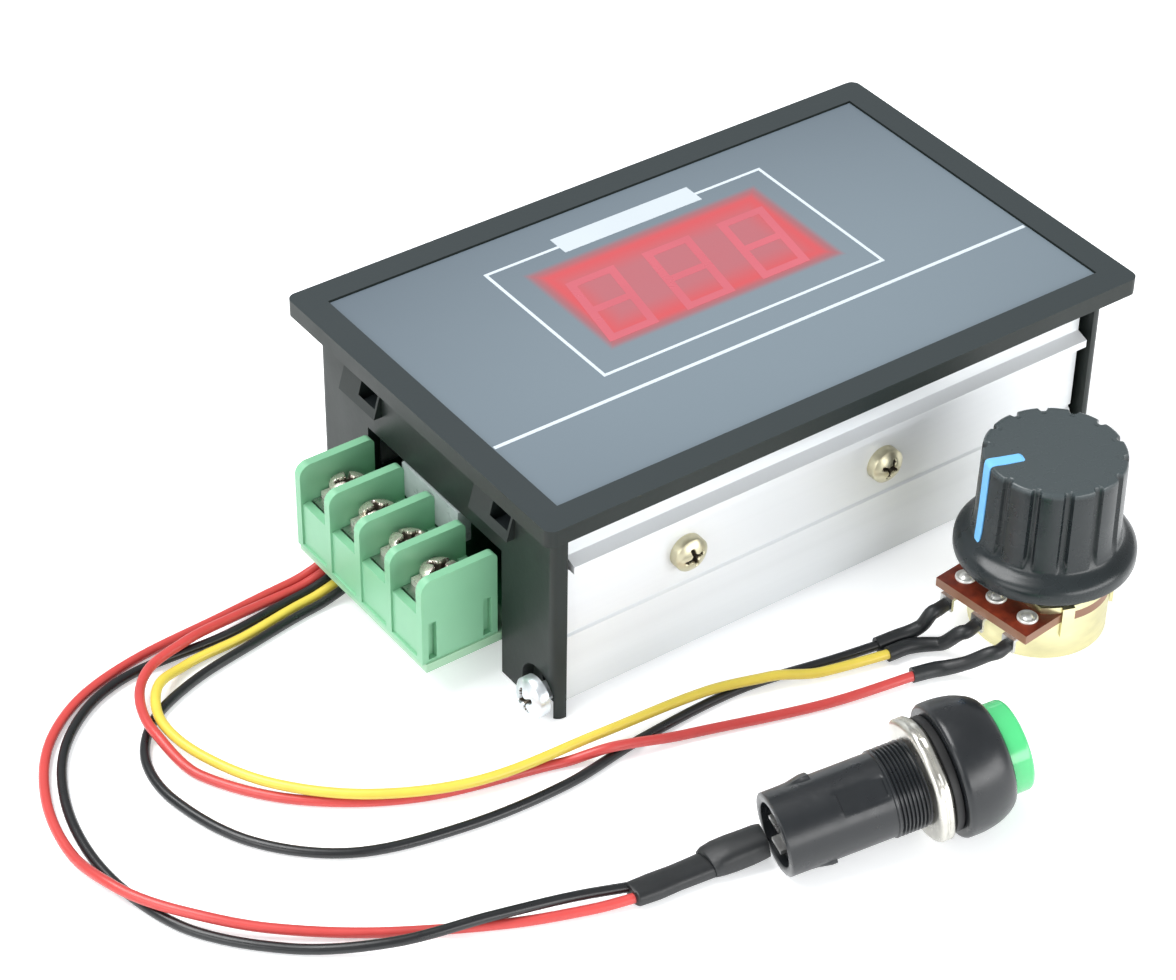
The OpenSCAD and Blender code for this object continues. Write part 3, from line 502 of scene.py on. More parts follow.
def join(shapes):
    points, faces = [], []
    for more, its_faces in shapes:
        start = len(points)
        points += list(more)
        faces += [tuple(k + start for k in face) for face in its_faces]
    return points, faces


def moved(shape, place):
    points, faces = shape
    return [tuple(place @ Vector(point)) for point in points], faces


def axis_frame(at, direction, spin=0.0):
    """Matrix that puts local Z on a direction."""
    turn = Vector(direction).to_track_quat("Z", "Y").to_matrix().to_4x4()
    return Matrix.Translation(Vector(at)) @ turn @ Matrix.Rotation(spin, 4, "Z")


def cord(name, points, radius, material, replaced, radii=None):
    """A round skin through points, on the housing, that rises and falls only where they do."""
    data = bpy.data.curves.new(name, "CURVE")
    data.dimensions = "3D"
    data.bevel_depth = radius * MM
    data.bevel_resolution = 4
    data.use_fill_caps = True
    spline = data.splines.new("BEZIER")
    spline.resolution_u = 10
    spline.bezier_points.add(len(points) - 1)
    places = [Vector(point) * MM for point in points]
    last = len(places) - 1
    for i, at in enumerate(places):
        before, after = places[max(0, i - 1)], places[min(last, i + 1)]
        back, ahead = (at - before).length, (after - at).length
        lean = (after - before) / (back + ahead)
        rise, fall = (at.z - before.z) / (back or ahead), (after.z - at.z) / (ahead or back)
        if 0 < i < last:
            lean.z = 2 * rise * fall / (rise + fall) if rise * fall > 0 else 0.0
        knot = spline.bezier_points[i]
        knot.handle_left_type = "FREE"
        knot.handle_right_type = "FREE"
        knot.co = at
        knot.handle_left = at - lean * (back or ahead) / 3
        knot.handle_right = at + lean * (ahead or back) / 3
        if radii:
            knot.radius = radii[i]
    data.materials.append(materials[material])
    made = link(bpy.data.objects.new(name, data))
    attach(made, "housing")
    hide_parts(replaced)
    return made


# Screws: pan heads with a cross recess, and with a slot too on the terminals. A shank is radius and length.
HEAD_RINGS = 22
HEAD_SIDES = 72
SHANK_SIDES = 24
DOME_POWER = 2.6
# Shares of the recess's reach: half width of an arm, then the slopes of its side, its end and its core
ARM_HALF = 0.19
ARM_SIDE_SLOPE = 0.7
ARM_END_SLOPE = 0.35
CORE_REACH = 0.42
CORE_SLOPE = 0.25
# The slot's depth as a share of the recess's, and its slope as a share of its width
SLOT_DEPTH = 0.8
SLOT_SLOPE = 0.25


def recess_share(x, y, cut, slot):
    """1 in the recess of a screw head and 0 outside it, with sloping walls."""
    arm = cut * ARM_HALF
    share = clamp((cut * CORE_REACH - math.hypot(x, y)) / (cut * CORE_SLOPE))
    for lengthwise, across in ((x, y), (y, x)):
        side = clamp((arm - abs(across)) / (arm * ARM_SIDE_SLOPE))
        share = max(share, side * clamp((cut - abs(lengthwise)) / (cut * ARM_END_SLOPE)))
    if slot:
        share = max(share, SLOT_DEPTH * clamp((slot * 0.5 - abs(y)) / (slot * SLOT_SLOPE)))
    return share


def screw_head(radius, height, dome, cut, depth, slot=0.0):
    """A head as one height field over a disc, with its side and its underside."""
    points = []
    for ring in range(HEAD_RINGS + 1):
        reach = radius * ring / HEAD_RINGS
        fall = dome * height * (reach / radius) ** DOME_POWER
        for k in range(HEAD_SIDES):
            angle = 2 * math.pi * k / HEAD_SIDES
            x, y = reach * math.cos(angle), reach * math.sin(angle)
            points.append((x, y, height - fall - depth * recess_share(x, y, cut, slot)))
    foot = len(points)
    for k in range(HEAD_SIDES):
        angle = 2 * math.pi * k / HEAD_SIDES
        points.append((radius * math.cos(angle), radius * math.sin(angle), 0))
    faces = quads(HEAD_RINGS + 2, HEAD_SIDES, flip=True)
    return points, faces + [cap(foot, HEAD_SIDES, flip=True)]


def paint_recess_shade(made, head, cut):
    """Second material, painted shade, on the faces of a screw head that lie in its cross recess."""
    points, faces = head
    made.data.materials.append(materials["recess"])
    for i, face in enumerate(faces[:-1]):
        x = sum(points[k][0] for k in face) / len(face)
        y = sum(points[k][1] for k in face) / len(face)
        in_arm = min(abs(x), abs(y)) < cut * 0.17 and max(abs(x), abs(y)) < cut * 0.9
        if in_arm or math.hypot(x, y) < cut * 0.34:
            made.data.polygons[i].material_index = 1


def screw(name, replaced, place, head_size, shank, material, body="housing"):
    radius, length = shank
    head = screw_head(**head_size)
    stem = lathe([(radius, -length), (radius, 0)], SHANK_SIDES)
    whole = join([moved(head, place), moved(stem, place)])
    made = piece(name, whole, material, body, smooth=50, replaced=[replaced])
    paint_recess_shade(made, head, head_size["cut"])


# Wires, on the same routes as the solids
ROUTES = {
    "wire_switch_red": [
        (-36, 12.9, 3), (-41, 12.9, 3), (-52, 12.8, 0.6), (-62, 12.1, 0.6), (-74, 11.2, 0.6),
        (-82.5, 8.7, 0.6), (-89, 3.6, 0.6), (-93.2, -4, 0.6), (-94.9, -12.5, 0.8), (-94, -20.5, 1.9),
        (-90, -27.8, 1.9), (-83.5, -34.6, 1.3), (-73, -41.8, 0.6), (-62.5, -47.6, 0.6),
        (-54, -51.2, 0.8), (-48, -53.2, 1.3)],
    "wire_pot_red": [
        (-36, 11.6, 3), (-41, 11.6, 3), (-52, 11.5, 0.6), (-61, 10.7, 1.2), (-68, 9.4, 1.9),
        (-73.6, 7.7, 1.9), (-77, 4, 1.9), (-78.5, -1.8, 1.9), (-77.2, -9.8, 0.6), (-70.6, -19, 0.6),
        (-59.5, -26.3, 0.6), (-43.5, -30.7, 0.6), (-38, -33, 1.9), (-29.5, -35, 0.8),
        (-14, -39.6, 0.6), (-1, -42.5, 1.2)],
    "wire_switch_black": [
        (-36, 10.3, 3), (-41, 10.3, 3), (-52, 10.2, 0.6), (-63, 9, 0.6), (-75, 9.3, 0.6),
        (-81.8, 7.2, 0.6), (-87.8, 2, 0.6), (-91.6, -5.5, 0.6), (-93.2, -14, 0.6), (-92.6, -22, 0.6),
        (-89.8, -30, 0.6), (-83, -37.7, 0.6), (-74, -43.8, 1.4), (-63.5, -47, 1.9),
        (-55, -49.2, 1.6), (-48, -51.6, 1.3)],
    "wire_pot_yellow": [
        (-36, 9, 3), (-41, 9, 3), (-52, 8.9, 0.6), (-61, 7.6, 0.6), (-69.5, 6.9, 0.8),
        (-74.6, 4.2, 1.9), (-77, -1, 1.9), (-76.2, -8, 1.9), (-72, -16.6, 1.9), (-64, -24.2, 1.9),
        (-53, -29.1, 1.9), (-38, -30.4, 1.9), (-24, -31.5, 1.9), (-16.5, -33.6, 1.9),
        (-10.5, -35.6, 1), (-1, -38, 1.2)],
    "wire_pot_black": [
        (-36, 7.6, 3), (-41, 7.6, 3), (-52, 7.4, 0.6), (-61, 6, 0.6), (-70, 4.2, 0.6),
        (-77, 1, 0.6), (-81, -4.3, 0.6), (-81.6, -11.5, 0.6), (-78, -21.8, 0.6), (-70, -29.5, 0.6),
        (-58, -33, 0.6), (-45, -33.9, 0.6), (-34, -32.6, 0.6), (-20, -32.2, 0.6),
        (-9, -34.1, 0.6), (-1, -36, 1.2)],
}
INSULATION = {
    "wire_switch_red": "red_wire",
    "wire_pot_red": "red_wire",
    "wire_switch_black": "black_wire",
    "wire_pot_yellow": "yellow_wire",
    "wire_pot_black": "black_wire",
}
WIRE_RADIUS = 0.6

# Potentiometer's middle on the table, and its row of lugs
POT_PLACE = Vector((17.6, -40.8, 0))
LUG_TURN = math.radians(186.5)
LUG_PITCH = 4.8


def lug_point(i, reach, z):
    c, s = math.cos(LUG_TURN), math.sin(LUG_TURN)
    return (POT_PLACE.x + reach * c - i * LUG_PITCH * s, POT_PLACE.y + reach * s + i * LUG_PITCH * c, z)


# Shrink sleeves from the wires' ends to the lugs, with the lug's number
SLEEVE_STARTS = {
    "sleeve_pot_black": (-1, [(-2.4, -35.6, 1.1), (0.8, -36.1, 1.3), (3, -36.9, 2.2)]),
    "sleeve_pot_yellow": (0, [(-2.4, -37.6, 1.1), (0.8, -38, 1.1), (3.4, -39.8, 1.4)]),
    "sleeve_pot_red": (1, [(-2.4, -42, 1.1), (0.8, -43, 1.2), (3, -44.8, 2.2)]),
}
SLEEVE_RADIUS = 0.85
SLEEVE_FOLDS = [1.1, 1.13, 1.0, 1.03, 0.94]
SLEEVE_HEIGHT = 4.2
SLEEVE_ENDS = (12.8, 10.8)

for name, (lug, start) in SLEEVE_STARTS.items():
    route = start + [lug_point(lug, reach, SLEEVE_HEIGHT) for reach in SLEEVE_ENDS]
    cord(name + "_skin", route, SLEEVE_RADIUS, "sleeve", name, SLEEVE_FOLDS)

wires = {}
for name, route in ROUTES.items():
    wires[name] = cord(name + "_skin", route, WIRE_RADIUS, INSULATION[name], name)
for name, wire in wires.items():
    route = ROUTES[name]

# Flat shrink sleeve over the two wires of the switch
SWITCH_SLEEVES = {
    "sleeve_switch_rear": [
        ((-49.5, -52.3, 1.3), 2.7, 1.7), ((-49.2, -52.33, 1.3), 3.2, 2), ((-46.8, -52.6, 1.25), 3.4, 2.05),
        ((-44.2, -52.9, 1.3), 3.2, 2.0), ((-41.6, -53.2, 1.35), 3.3, 2.1), ((-39.4, -53.45, 1.45), 3.5, 2.15),
        ((-38.8, -53.5, 1.5), 3.4, 2.1)],
    "sleeve_switch_front": [
        ((-40.4, -53.25, 1.55), 3.6, 2.1), ((-40.1, -53.25, 1.6), 4, 2.5), ((-39, -53.45, 1.75), 4.2, 3.1),
        ((-37.6, -53.8, 1.95), 4.2, 3.4), ((-35.8, -54.25, 2.2), 4.1, 3.4), ((-34.4, -54.6, 2.5), 4, 3.3),
        ((-33.75, -54.8, 2.6), 3.8, 3.1)],
}
for name, rings in SWITCH_SLEEVES.items():
    piece(name, oval_sweep(rings), "sleeve", "housing", smooth=60, replaced=["sleeve_switch"])

# Housing: material, bevel width and bevel segments of each CAD node
HOUSING_LOOKS = {
    "front_shell": ("shell", 0.22, 3),
    "front_label": ("label", 0.0, 2),
    "display_lens": ("window", 0.0, 2),
    "display_module": ("black", 0.2, 2),
    "display_board": ("board", 0.1, 2),
    "board_header": ("black", 0.1, 2),
    "main_board": ("board", 0.08, 2),
    "heat_sink_near": ("alu", 0.12, 2),
    "heat_sink_far": ("alu", 0.12, 2),
    "transistor_bodies": ("black", 0.2, 2),
    "transistor_leads": ("tin", 0.08, 2),
    "insulating_pads": ("pad", 0.0, 2),
    "transistor_nuts": ("nickel", 0.15, 2),
    "bulk_capacitors": ("can_sleeve", 0.5, 3),
    "control_chips": ("black", 0.15, 2),
    "wire_pads": ("tin", 0.15, 2),
    "terminal_bars": ("tin", 0.1, 2),
    "adhesive_bead": ("glue", 0.7, 4),
}
for name, look in HOUSING_LOOKS.items():
    dress(name, *look)

# Print on the label: a white frame open at its far side, a blank tag in that gap, and a rule
LABEL_TOP = 29.75
LINE_WIDTH = 0.42
RULE_WIDTH = 0.5
FRAME_LEFT, FRAME_RIGHT = -20.9, 20.1
FRAME_NEAR, FRAME_FAR = -6.8, 17.6
TAG_LEFT, TAG_RIGHT = -10.2, 10.1
TAG_NEAR, TAG_FAR = 16.0, 19.2
RULE_REACH = 38.6
RULE_NEAR = -10.9


def printed(name, outlines, material, thick=0.03):
    """Thin printed shapes on the label, each a list of corner points."""
    shapes = []
    for outline in outlines:
        n = len(outline)
        points = [(x, y, LABEL_TOP) for x, y in outline] + [(x, y, LABEL_TOP + thick) for x, y in outline]
        faces = [cap(0, n, flip=True), cap(n, n)]
        faces += [(k, (k + 1) % n, (k + 1) % n + n, k + n) for k in range(n)]
        shapes.append((points, faces))
    return piece(name, join(shapes), material, "housing", smooth=30)


def bar(x0, y0, x1, y1):
    return [(x0, y0), (x1, y0), (x1, y1), (x0, y1)]


printed("label_frame", [
    bar(FRAME_LEFT, FRAME_NEAR, FRAME_RIGHT, FRAME_NEAR + LINE_WIDTH),
    bar(FRAME_LEFT, FRAME_NEAR + LINE_WIDTH, FRAME_LEFT + LINE_WIDTH, FRAME_FAR - LINE_WIDTH),
    bar(FRAME_RIGHT - LINE_WIDTH, FRAME_NEAR + LINE_WIDTH, FRAME_RIGHT, FRAME_FAR - LINE_WIDTH),
    bar(FRAME_LEFT, FRAME_FAR - LINE_WIDTH, TAG_LEFT, FRAME_FAR),
    bar(TAG_RIGHT, FRAME_FAR - LINE_WIDTH, FRAME_RIGHT, FRAME_FAR)], "white")
printed("label_rule", [bar(-RULE_REACH, RULE_NEAR, RULE_REACH, RULE_NEAR + RULE_WIDTH)], "white")
printed("label_blank_tag", [bar(TAG_LEFT, TAG_NEAR, TAG_RIGHT, TAG_FAR)], "white_block")

# Three unlit digits, drawn on the window's face: thick strokes that run into one another
DIGIT_MIDDLES = (-11.7, -0.6, 10.5)
DIGIT_Y = 4.5
DIGIT_WIDTH = 7.0
DIGIT_HEIGHT = 12.4
DIGIT_STROKE = 1.15
DIGIT_SLANT = 0.19
DIGIT_THICKNESS = 0.012


def digit(middle):
    """An eight of bars, leaning to the right."""
    half_width, half_height, stroke = DIGIT_WIDTH / 2, DIGIT_HEIGHT / 2, DIGIT_STROKE
    bars = []
    for low, high in ((half_height - stroke, half_height), (-stroke / 2, stroke / 2),
                      (-half_height, -half_height + stroke)):
        bars.append(bar(-half_width + stroke, low, half_width - stroke, high))
    for left in (-half_width, half_width - stroke):
        bars.append(bar(left, -half_height, left + stroke, half_height))
    return [[(middle + x + y * DIGIT_SLANT, DIGIT_Y + y) for x, y in outline] for outline in bars]


strokes = []
for middle in DIGIT_MIDDLES:
    strokes += digit(middle)
printed("display_digits", strokes, "digit", DIGIT_THICKNESS)

# Screws of the housing, each with its recess at another angle
END_HEAD = {"radius": 2.5, "height": 2.15, "dome": 0.45, "cut": 1.6, "depth": 1.2}
END_SHANK = (1.1, 9.6)
END_SCREW_X, END_SCREW_Y, END_SCREW_Z = 40.3, 21.7, 2.6
SINK_HEAD = {"radius": 2.2, "height": 2.0, "dome": 0.42, "cut": 1.35, "depth": 1.1}
SINK_SHANK = (1.5, 8.3)
SINK_SCREWS = [(-21, -1), (7.5, -1), (-21, 1), (7.5, 1)]
SINK_FACE = 23
SINK_SCREW_Z = 15.5

for i, (sx, sy) in enumerate([(-1, -1), (-1, 1), (1, -1), (1, 1)]):
    place = axis_frame((sx * END_SCREW_X, sy * END_SCREW_Y, END_SCREW_Z), (sx, 0, 0), 0.5 + i)
    screw("end_screw_%d" % (i + 1), "end_screws", place, END_HEAD, END_SHANK, "screw")
for i, (x, sy) in enumerate(SINK_SCREWS):
    place = axis_frame((x, sy * SINK_FACE, SINK_SCREW_Z), (0, sy, 0), 0.3 + 0.9 * i)
    screw("heat_sink_screw_%d" % (i + 1), "heat_sink_screws", place, SINK_HEAD, SINK_SHANK, "yellow")

# Terminal strip, whose screws have their recesses at several angles
POLES = 4
POLE_PITCH = 6.35
POLE_X = -45.2
HEAD_FOOT_Z = 13.12
TERMINAL_HEAD = {"radius": 2.3, "height": 2.35, "dome": 0.3, "cut": 1.75, "depth": 1.25, "slot": 0.6}
TERMINAL_SHANK = (1.5, 6.9)

dress("terminal_block", "green", 0.16)
for i in range(POLES):
    y = (i - (POLES - 1) / 2) * POLE_PITCH
    place = axis_frame((POLE_X, y, HEAD_FOOT_Z), (0, 0, 1), 0.4 + 1.3 * i)
    screw("terminal_screw_%d_body" % (i + 1), "terminal_screw_%d" % (i + 1), place, TERMINAL_HEAD,
          TERMINAL_SHANK, "dull", "screw_%d" % (i + 1))
    dress("clamp_plate_%d" % (i + 1), "plate", 0.15)

# Toroid wound with copper wire
TOROID_PLACE = Matrix.Translation(Vector((-9, 3, 5.7)))
TOROID_TURNS = 26
CORE_PROFILE = [(3.6, 0.6), (7.9, 0.6), (7.9, 7.4), (3.6, 7.4), (3.6, 0.6)]
TURN_PROFILE = [(3.55, 0.5), (3.55, 7.5), (7.5, 7.5), (7.5, 0.5)]
CORE_SIDES = 48
COPPER_SIDES = 8
COPPER_RADIUS = 0.42
COPPER_OVERLAP = 0.2


def winding():
    """Square turns round the core, each of four short rods that overlap at the corners."""
    rods = []
    for k in range(TOROID_TURNS):
        angle = 2 * math.pi * k / TOROID_TURNS
        corners = [Vector((r * math.cos(angle), r * math.sin(angle), z)) for r, z in TURN_PROFILE]
        for a, b in zip(corners, corners[1:] + corners[:1]):
            ends = (-COPPER_OVERLAP, (b - a).length + COPPER_OVERLAP)
            rod = lathe([(COPPER_RADIUS, end) for end in ends], COPPER_SIDES)
            rods.append(moved(rod, axis_frame(a, b - a)))
    return rods


turns = join([moved(rod, TOROID_PLACE) for rod in winding()])
core = moved(lathe(CORE_PROFILE, CORE_SIDES), TOROID_PLACE)
piece("inductor_winding", turns, "copper", "housing", smooth=60, replaced=["inductor"])
piece("inductor_core", core, "black", "housing", smooth=40, replaced=["inductor"])

# Potentiometer
POT_LOOKS = {
    "pot_can": ("can", 0.25, 3),
    "pot_wafer": ("phenolic", 0.1),
    "pot_plate": ("can", 0.12),
    "pot_washer": ("nickel", 0.08),
    "pot_nut": ("nickel", 0.15),
    "pot_shaft": ("alu", 0.15),
    "pot_wiper": ("brass", 0.08),
    "pot_lugs": ("tin", 0.08),
}
RIVET_REACH = 7.7
WAFER_TOP = 6.6
RIVET_SIDES = 40
RIVET_PROFILE = [
    (1.2, -1.55), (1.25, 0), (1.24, 0.14), (1.12, 0.26), (0.92, 0.24), (0.78, 0.12), (0.66, 0.16),
    (0.54, 0.34), (0.3, 0.44), (0.0, 0.46)]

for name, look in POT_LOOKS.items():
    dress(name, *look)
for i in (-1, 0, 1):
    place = Matrix.Translation(Vector(lug_point(i, RIVET_REACH, WAFER_TOP)))
    rivet = moved(lathe(RIVET_PROFILE, RIVET_SIDES), place)
    piece("pot_rivet_%d" % (i + 2), rivet, "rivet", "housing", smooth=45, replaced=["pot_rivets"])

# Knob: a skirt with a rounded edge, and a grip with one place for the stripe and hollows in the others
KNOB_PLACES = 14
KNOB_SIDES = 420
POINTER_TURN = math.radians(162)
GRIP_FOOT = 12.6
TOP_EDGE_RADIUS = 7.2
MEAN_GRIP_RADIUS = 8.45
HOLLOW_DEPTH = 0.55
HOLLOW_HALF = 0.62
HOLLOW_WALL = 0.3
FLANK_FALL = 0.06
FADE_START = 12.95
FADE_HEIGHT = 1.4
KNOB_PROFILE = [
    (3.6, 10.6), (8.9, 10.6), (9.0, 9.8), (10.3, 9.8), (10.52, 9.9), (10.6, 10.15), (10.6, 11.0),
    (10.52, 11.35), (10.3, 11.7), (9.95, 12.02), (9.5, 12.28), (9.1, 12.5), (8.82, 12.8), (8.7, 12.95),
    (8.64, 13.25), (8.6, 13.7), (8.52, 14.6), (8.45, 17), (8.39, 20), (8.35, 22.4), (8.33, 23.4),
    (8.28, 23.7), (8.16, 23.9), (7.98, 23.99), (7.6, 24.0), (7.1, 23.96), (6.6, 23.92), (0.0, 23.9)]


def fluted(radius, z, angle):
    """Narrow hollows round the grip that fade out at its foot."""
    if radius < TOP_EDGE_RADIUS or z < GRIP_FOOT:
        return radius
    step = 2 * math.pi / KNOB_PLACES
    turn = (angle - POINTER_TURN) / step
    off = abs(turn - round(turn)) * step * MEAN_GRIP_RADIUS
    hollow = 0
    if round(turn) % KNOB_PLACES:
        hollow = HOLLOW_DEPTH * clamp((HOLLOW_HALF - off) / HOLLOW_WALL) ** 0.7
    flank = abs(turn - math.floor(turn) - 0.5) * 2
    return radius - clamp((z - FADE_START) / FADE_HEIGHT) * (hollow + FLANK_FALL * flank ** 2)


grip = moved(lathe(KNOB_PROFILE, KNOB_SIDES, fluted), Matrix.Translation(POT_PLACE))
piece("knob_grip", grip, "knob", "rotor", smooth=40, replaced=["knob"])

# Pointer stripe: reach, height and half width, over the top, round the edge and down the side
STRIPE_LINE = [
    (4.0, 23.95, 0.4), (4.12, 23.97, 0.58), (4.32, 23.98, 0.7), (6.6, 23.99, 0.74), (7.1, 24.02, 0.74),
    (7.7, 24.05, 0.74), (8.06, 24.02, 0.74), (8.3, 23.84, 0.74), (8.4, 23.4, 0.74), (8.42, 22.4, 0.74),
    (8.46, 20, 0.74), (8.52, 17, 0.74), (8.6, 14.8, 0.74), (8.67, 13.7, 0.72), (8.74, 13.2, 0.62),
    (8.8, 12.98, 0.42)]
STRIPE_DEPTH = 0.3
STRIPE_CENTRE = Vector((0, 0, 19))
STRIPE_LEVEL = 0.6


def pointer_stripe():
    points = []
    for reach, z, half in STRIPE_LINE:
        outside = Vector((reach, 0, z))
        inward = STRIPE_CENTRE - outside
        inward.z *= STRIPE_LEVEL
        for y, depth in ((-half, STRIPE_DEPTH), (-half, 0.0), (half, 0.0), (half, STRIPE_DEPTH)):
            at = outside + inward.normalized() * depth
            points.append((at.x, y, at.z))
    rows = len(STRIPE_LINE)
    return points, quads(rows, 4) + [cap(0, 4, flip=True), cap((rows - 1) * 4, 4)]


place = Matrix.Translation(POT_PLACE) @ Matrix.Rotation(POINTER_TURN, 4, "Z")
stripe = moved(pointer_stripe(), place)
piece("knob_pointer_stripe", stripe, "pointer", "rotor", smooth=50, replaced=["knob_pointer"])

# Push button, lying on the table with its axis tilted up to the collar
SWITCH_LOOKS = {
    "switch_base": ("black", 0.1),
    "switch_lugs": ("tin", 0.06),
    "switch_spring": ("steel",),
    "button_plunger": ("ivory", 0.2),
    "contact_bridge": ("brass", 0.08),
}
BUTTON_REAR = Vector((-33.9, -56.5, 4.75))
BUTTON_TILT = math.radians(8.5)
BUTTON_TURN = math.radians(-14.3)
button_place = (Matrix.Translation(BUTTON_REAR) @ Matrix.Rotation(BUTTON_TURN, 4, "Z")
                @ Matrix.Rotation(math.pi / 2 - BUTTON_TILT, 4, "Y"))
for name, look in SWITCH_LOOKS.items():
    dress(name, *look)

# Barrel: a barb and a flat on both sides, then the thread
BARREL_RADIUS = 4.8
BARREL_SIDES = 144
BORE_LIMIT = 4.0
BARB_TURNS = (141, -39)
BARB_HALF_ANGLE = 0.32
BARB_FLANK = 0.05
BARB_START, BARB_END = 1.6, 5.4
BARB_RUN = 3.2
BARB_ROOT, BARB_HEIGHT = 0.25, 0.6
FLAT_TURNS = (-146, 34)
FLAT_HALF_ANGLE = 0.9
FLAT_REACH = 4.58
FLAT_START, FLAT_END = 6.8, 12.1
BARREL_END = 12.5
BARREL_ROWS = [0.15, 1.0, 1.6, 1.65, 2.4, 3.2, 4.0, 4.8, 5.38, 5.42, 6.2, 6.78, 6.86, 8.5, 10.5, 12.05, 12.15,
               12.45]
THREAD_TURNS = 8
THREAD_START = 12.7
THREAD_PITCH = 0.45
THREAD_RADIUS, THREAD_ROOT = 4.98, 4.7
THREAD_TOOTH = [(THREAD_RADIUS, 0), (THREAD_RADIUS, 0.12), (THREAD_ROOT, 0.26), (THREAD_ROOT, 0.32)]
COLLAR_PROFILE = [
    (4.9, 16.4), (4.9, 19.5), (7.2, 19.5), (7.5, 19.62), (7.68, 19.9), (7.7, 20.3), (7.7, 21.0), (7.66, 21.8),
    (7.55, 22.6), (7.38, 23.4), (7.14, 24.1), (6.82, 24.8), (6.5, 25.3), (6.2, 25.65), (5.9, 25.85),
    (5.6, 25.9), (5.28, 25.86)]
BORE_PROFILE = [(5.28, 21.5), (3.3, 21.5), (3.3, 15.0), (2.08, 15.0), (2.08, 11.0), (3.7, 11.0)]


def off_angle(angle, turn):
    """Signed angle from a direction given in degrees."""
    return math.remainder(angle - math.radians(turn), 2 * math.pi)


def barrel_form(radius, z, angle):
    """Barbs and flats on the round barrel."""
    if radius < BORE_LIMIT or z > BARREL_END:
        return radius
    for turn in BARB_TURNS:
        off = abs(off_angle(angle, turn))
        if off < BARB_HALF_ANGLE and BARB_START < z <= BARB_END:
            rise = BARB_HEIGHT * clamp((z - BARB_START) / BARB_RUN)
            radius = max(radius, radius - BARB_ROOT + rise * clamp((BARB_HALF_ANGLE - off) / BARB_FLANK))
    for turn in FLAT_TURNS:
        off = off_angle(angle, turn)
        if abs(off) < FLAT_HALF_ANGLE and FLAT_START < z < FLAT_END:
            radius = min(radius, FLAT_REACH / math.cos(off))
    return radius


profile = [(3.7, 0.1), (3.85, 0.0), (4.62, 0.0)]
profile += [(BARREL_RADIUS, z) for z in BARREL_ROWS]
profile += [(THREAD_RADIUS, 12.55)]
for k in range(THREAD_TURNS):
    start = THREAD_START + THREAD_PITCH * k
    profile += [(radius, start + z) for radius, z in THREAD_TOOTH]
profile += COLLAR_PROFILE + BORE_PROFILE
moulding = moved(loop_lathe(profile, BARREL_SIDES, barrel_form), button_place)
piece("switch_moulding", moulding, "switch", "housing", smooth=40, replaced=["switch_body"])


# Ring nut with faint flats on its rim, seal and cap
NUT_FLATS = 6
NUT_FLAT_DEPTH = 0.3
NUT_RIM = 6
NUT_SIDES = 120
RING_SIDES = 72
NUT_PROFILE = [
    (5.04, 16.4), (6.55, 16.4), (7.05, 16.6), (7.2, 16.85), (7.2, 17.15), (7.08, 17.25), (7.08, 17.45),
    (7.2, 17.55), (7.2, 17.85), (7.05, 18.1), (6.7, 18.3), (5.04, 18.3)]
SEAL_PROFILE = [(5.04, 18.3), (6.3, 18.3), (6.6, 18.5), (6.6, 19.3), (6.4, 19.5), (5.04, 19.5)]
CAP_PROFILE = [
    (0.0, 24.1), (5.0, 24.1), (5.2, 24.3), (5.2, 28.0), (5.1, 28.3), (4.85, 28.5), (4.3, 28.5), (4.1, 28.42),
    (0.0, 28.3)]


def nut_form(radius, z, angle):
    if radius < NUT_RIM:
        return radius
    return radius - NUT_FLAT_DEPTH * (0.5 - 0.5 * math.cos(NUT_FLATS * angle)) ** 0.7


ring_nut = moved(lathe(NUT_PROFILE, NUT_SIDES, nut_form), button_place)
piece("switch_ring_nut", ring_nut, "ring", "housing", smooth=50, replaced=["switch_nut"])
seal = moved(lathe(SEAL_PROFILE, RING_SIDES), button_place)
piece("switch_rubber", seal, "rubber", "housing", smooth=50, replaced=["switch_seal"])
button_cap = moved(lathe(CAP_PROFILE, RING_SIDES), button_place)
piece("button_cap_skin", button_cap, "cap", "button", smooth=50, replaced=["button_cap"])

# Floor and world: a cool white that the camera and the metal see, with the floor's shadow kept
STUDIO_WHITE = (0.97, 0.985, 1, 1)


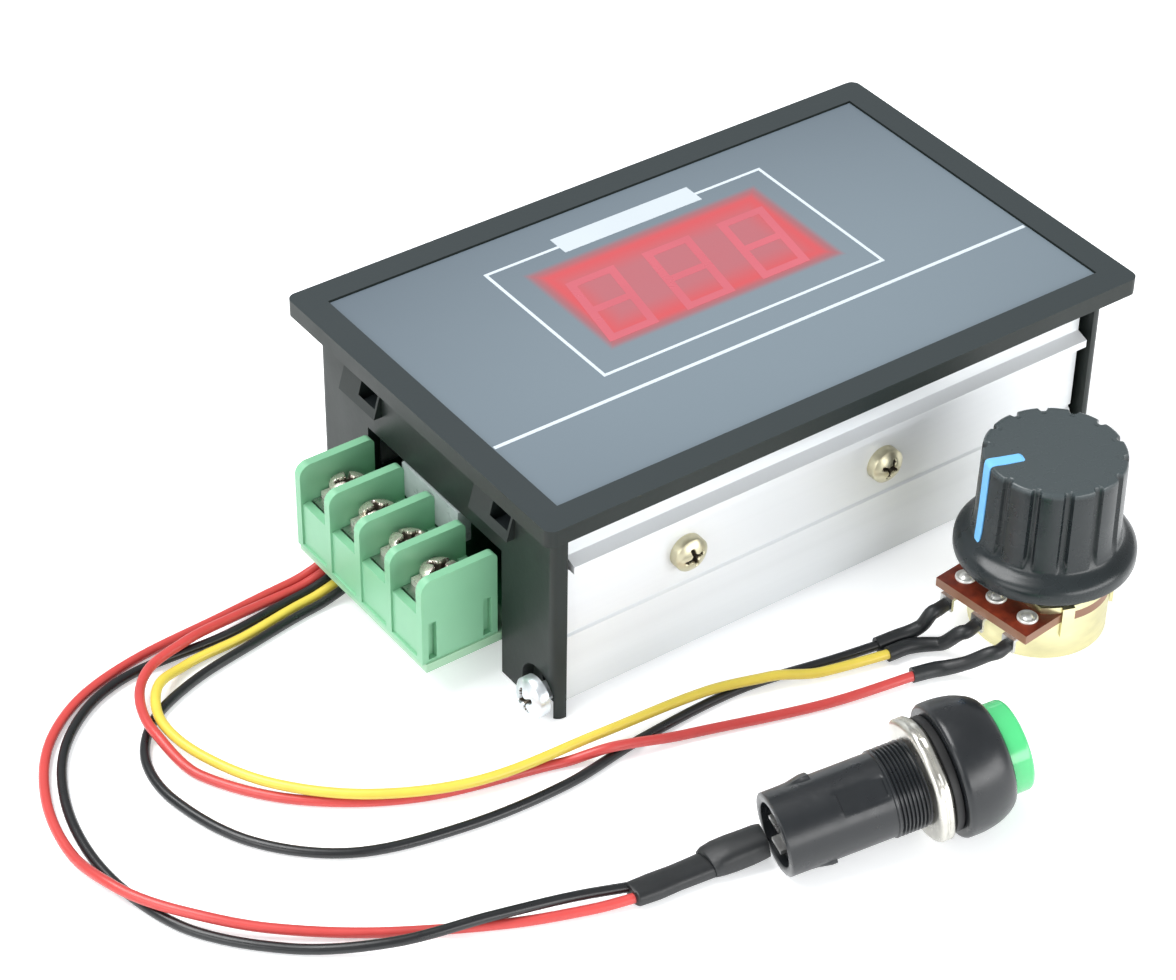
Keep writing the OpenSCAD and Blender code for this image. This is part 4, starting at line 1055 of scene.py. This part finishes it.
def floor_material():
    material, tree, shader = principled("floor_white")
    shader.inputs["Base Color"].default_value = (0.9, 0.91, 0.915, 1)
    shader.inputs["Roughness"].default_value = 0.6
    shader.inputs["Specular IOR Level"].default_value = 0.15
    rays = tree.nodes.new("ShaderNodeLightPath").outputs
    seen = maths(tree, "MAXIMUM", rays["Is Camera Ray"], rays["Is Glossy Ray"])
    glow = tree.nodes.new("ShaderNodeEmission")
    glow.inputs["Color"].default_value = STUDIO_WHITE
    tree.links.new(maths(tree, "MULTIPLY", seen, 0.42), glow.inputs["Strength"])
    both = tree.nodes.new("ShaderNodeAddShader")
    tree.links.new(shader.outputs[0], both.inputs[0])
    tree.links.new(glow.outputs[0], both.inputs[1])
    tree.links.new(both.outputs[0], tree.nodes["Material Output"].inputs["Surface"])
    return material


def add_floor():
    data = bpy.data.meshes.new("floor")
    data.from_pydata([(-3, -3, 0), (3, -3, 0), (3, 3, 0), (-3, 3, 0)], [], [(0, 1, 2, 3)])
    data.materials.append(floor_material())
    floor = link(bpy.data.objects.new("floor", data))
    floor.location.z = -0.0001


def add_world():
    world = bpy.data.worlds.new("studio")
    scene.world = world
    world.use_nodes = True
    tree = world.node_tree
    background = tree.nodes["Background"]
    background.inputs["Color"].default_value = STUDIO_WHITE
    rays = tree.nodes.new("ShaderNodeLightPath").outputs
    strength = rescale(tree, rays["Is Camera Ray"], 0.0, 1.0, 0.55, 1.0)
    tree.links.new(strength, background.inputs["Strength"])


def softbox(name, at, to, size, power):
    data = bpy.data.lights.new(name, "AREA")
    data.shape = "RECTANGLE"
    data.size, data.size_y = size
    data.energy = power
    lamp = link(bpy.data.objects.new(name, data))
    lamp.location = at
    lamp.rotation_euler = (Vector(to) - Vector(at)).to_track_quat("-Z", "Y").to_euler()


add_floor()
add_world()
softbox("key", (-0.35, 0.25, 0.85), (0, 0, 0), (0.7, 0.5), 10)
softbox("front", (0.3, -0.93, 0.28), (0, 0, 0.01), (1.1, 0.4), 8)
softbox("left", (-0.9, -0.25, 0.4), (0, 0, 0.01), (0.6, 0.5), 3.4)
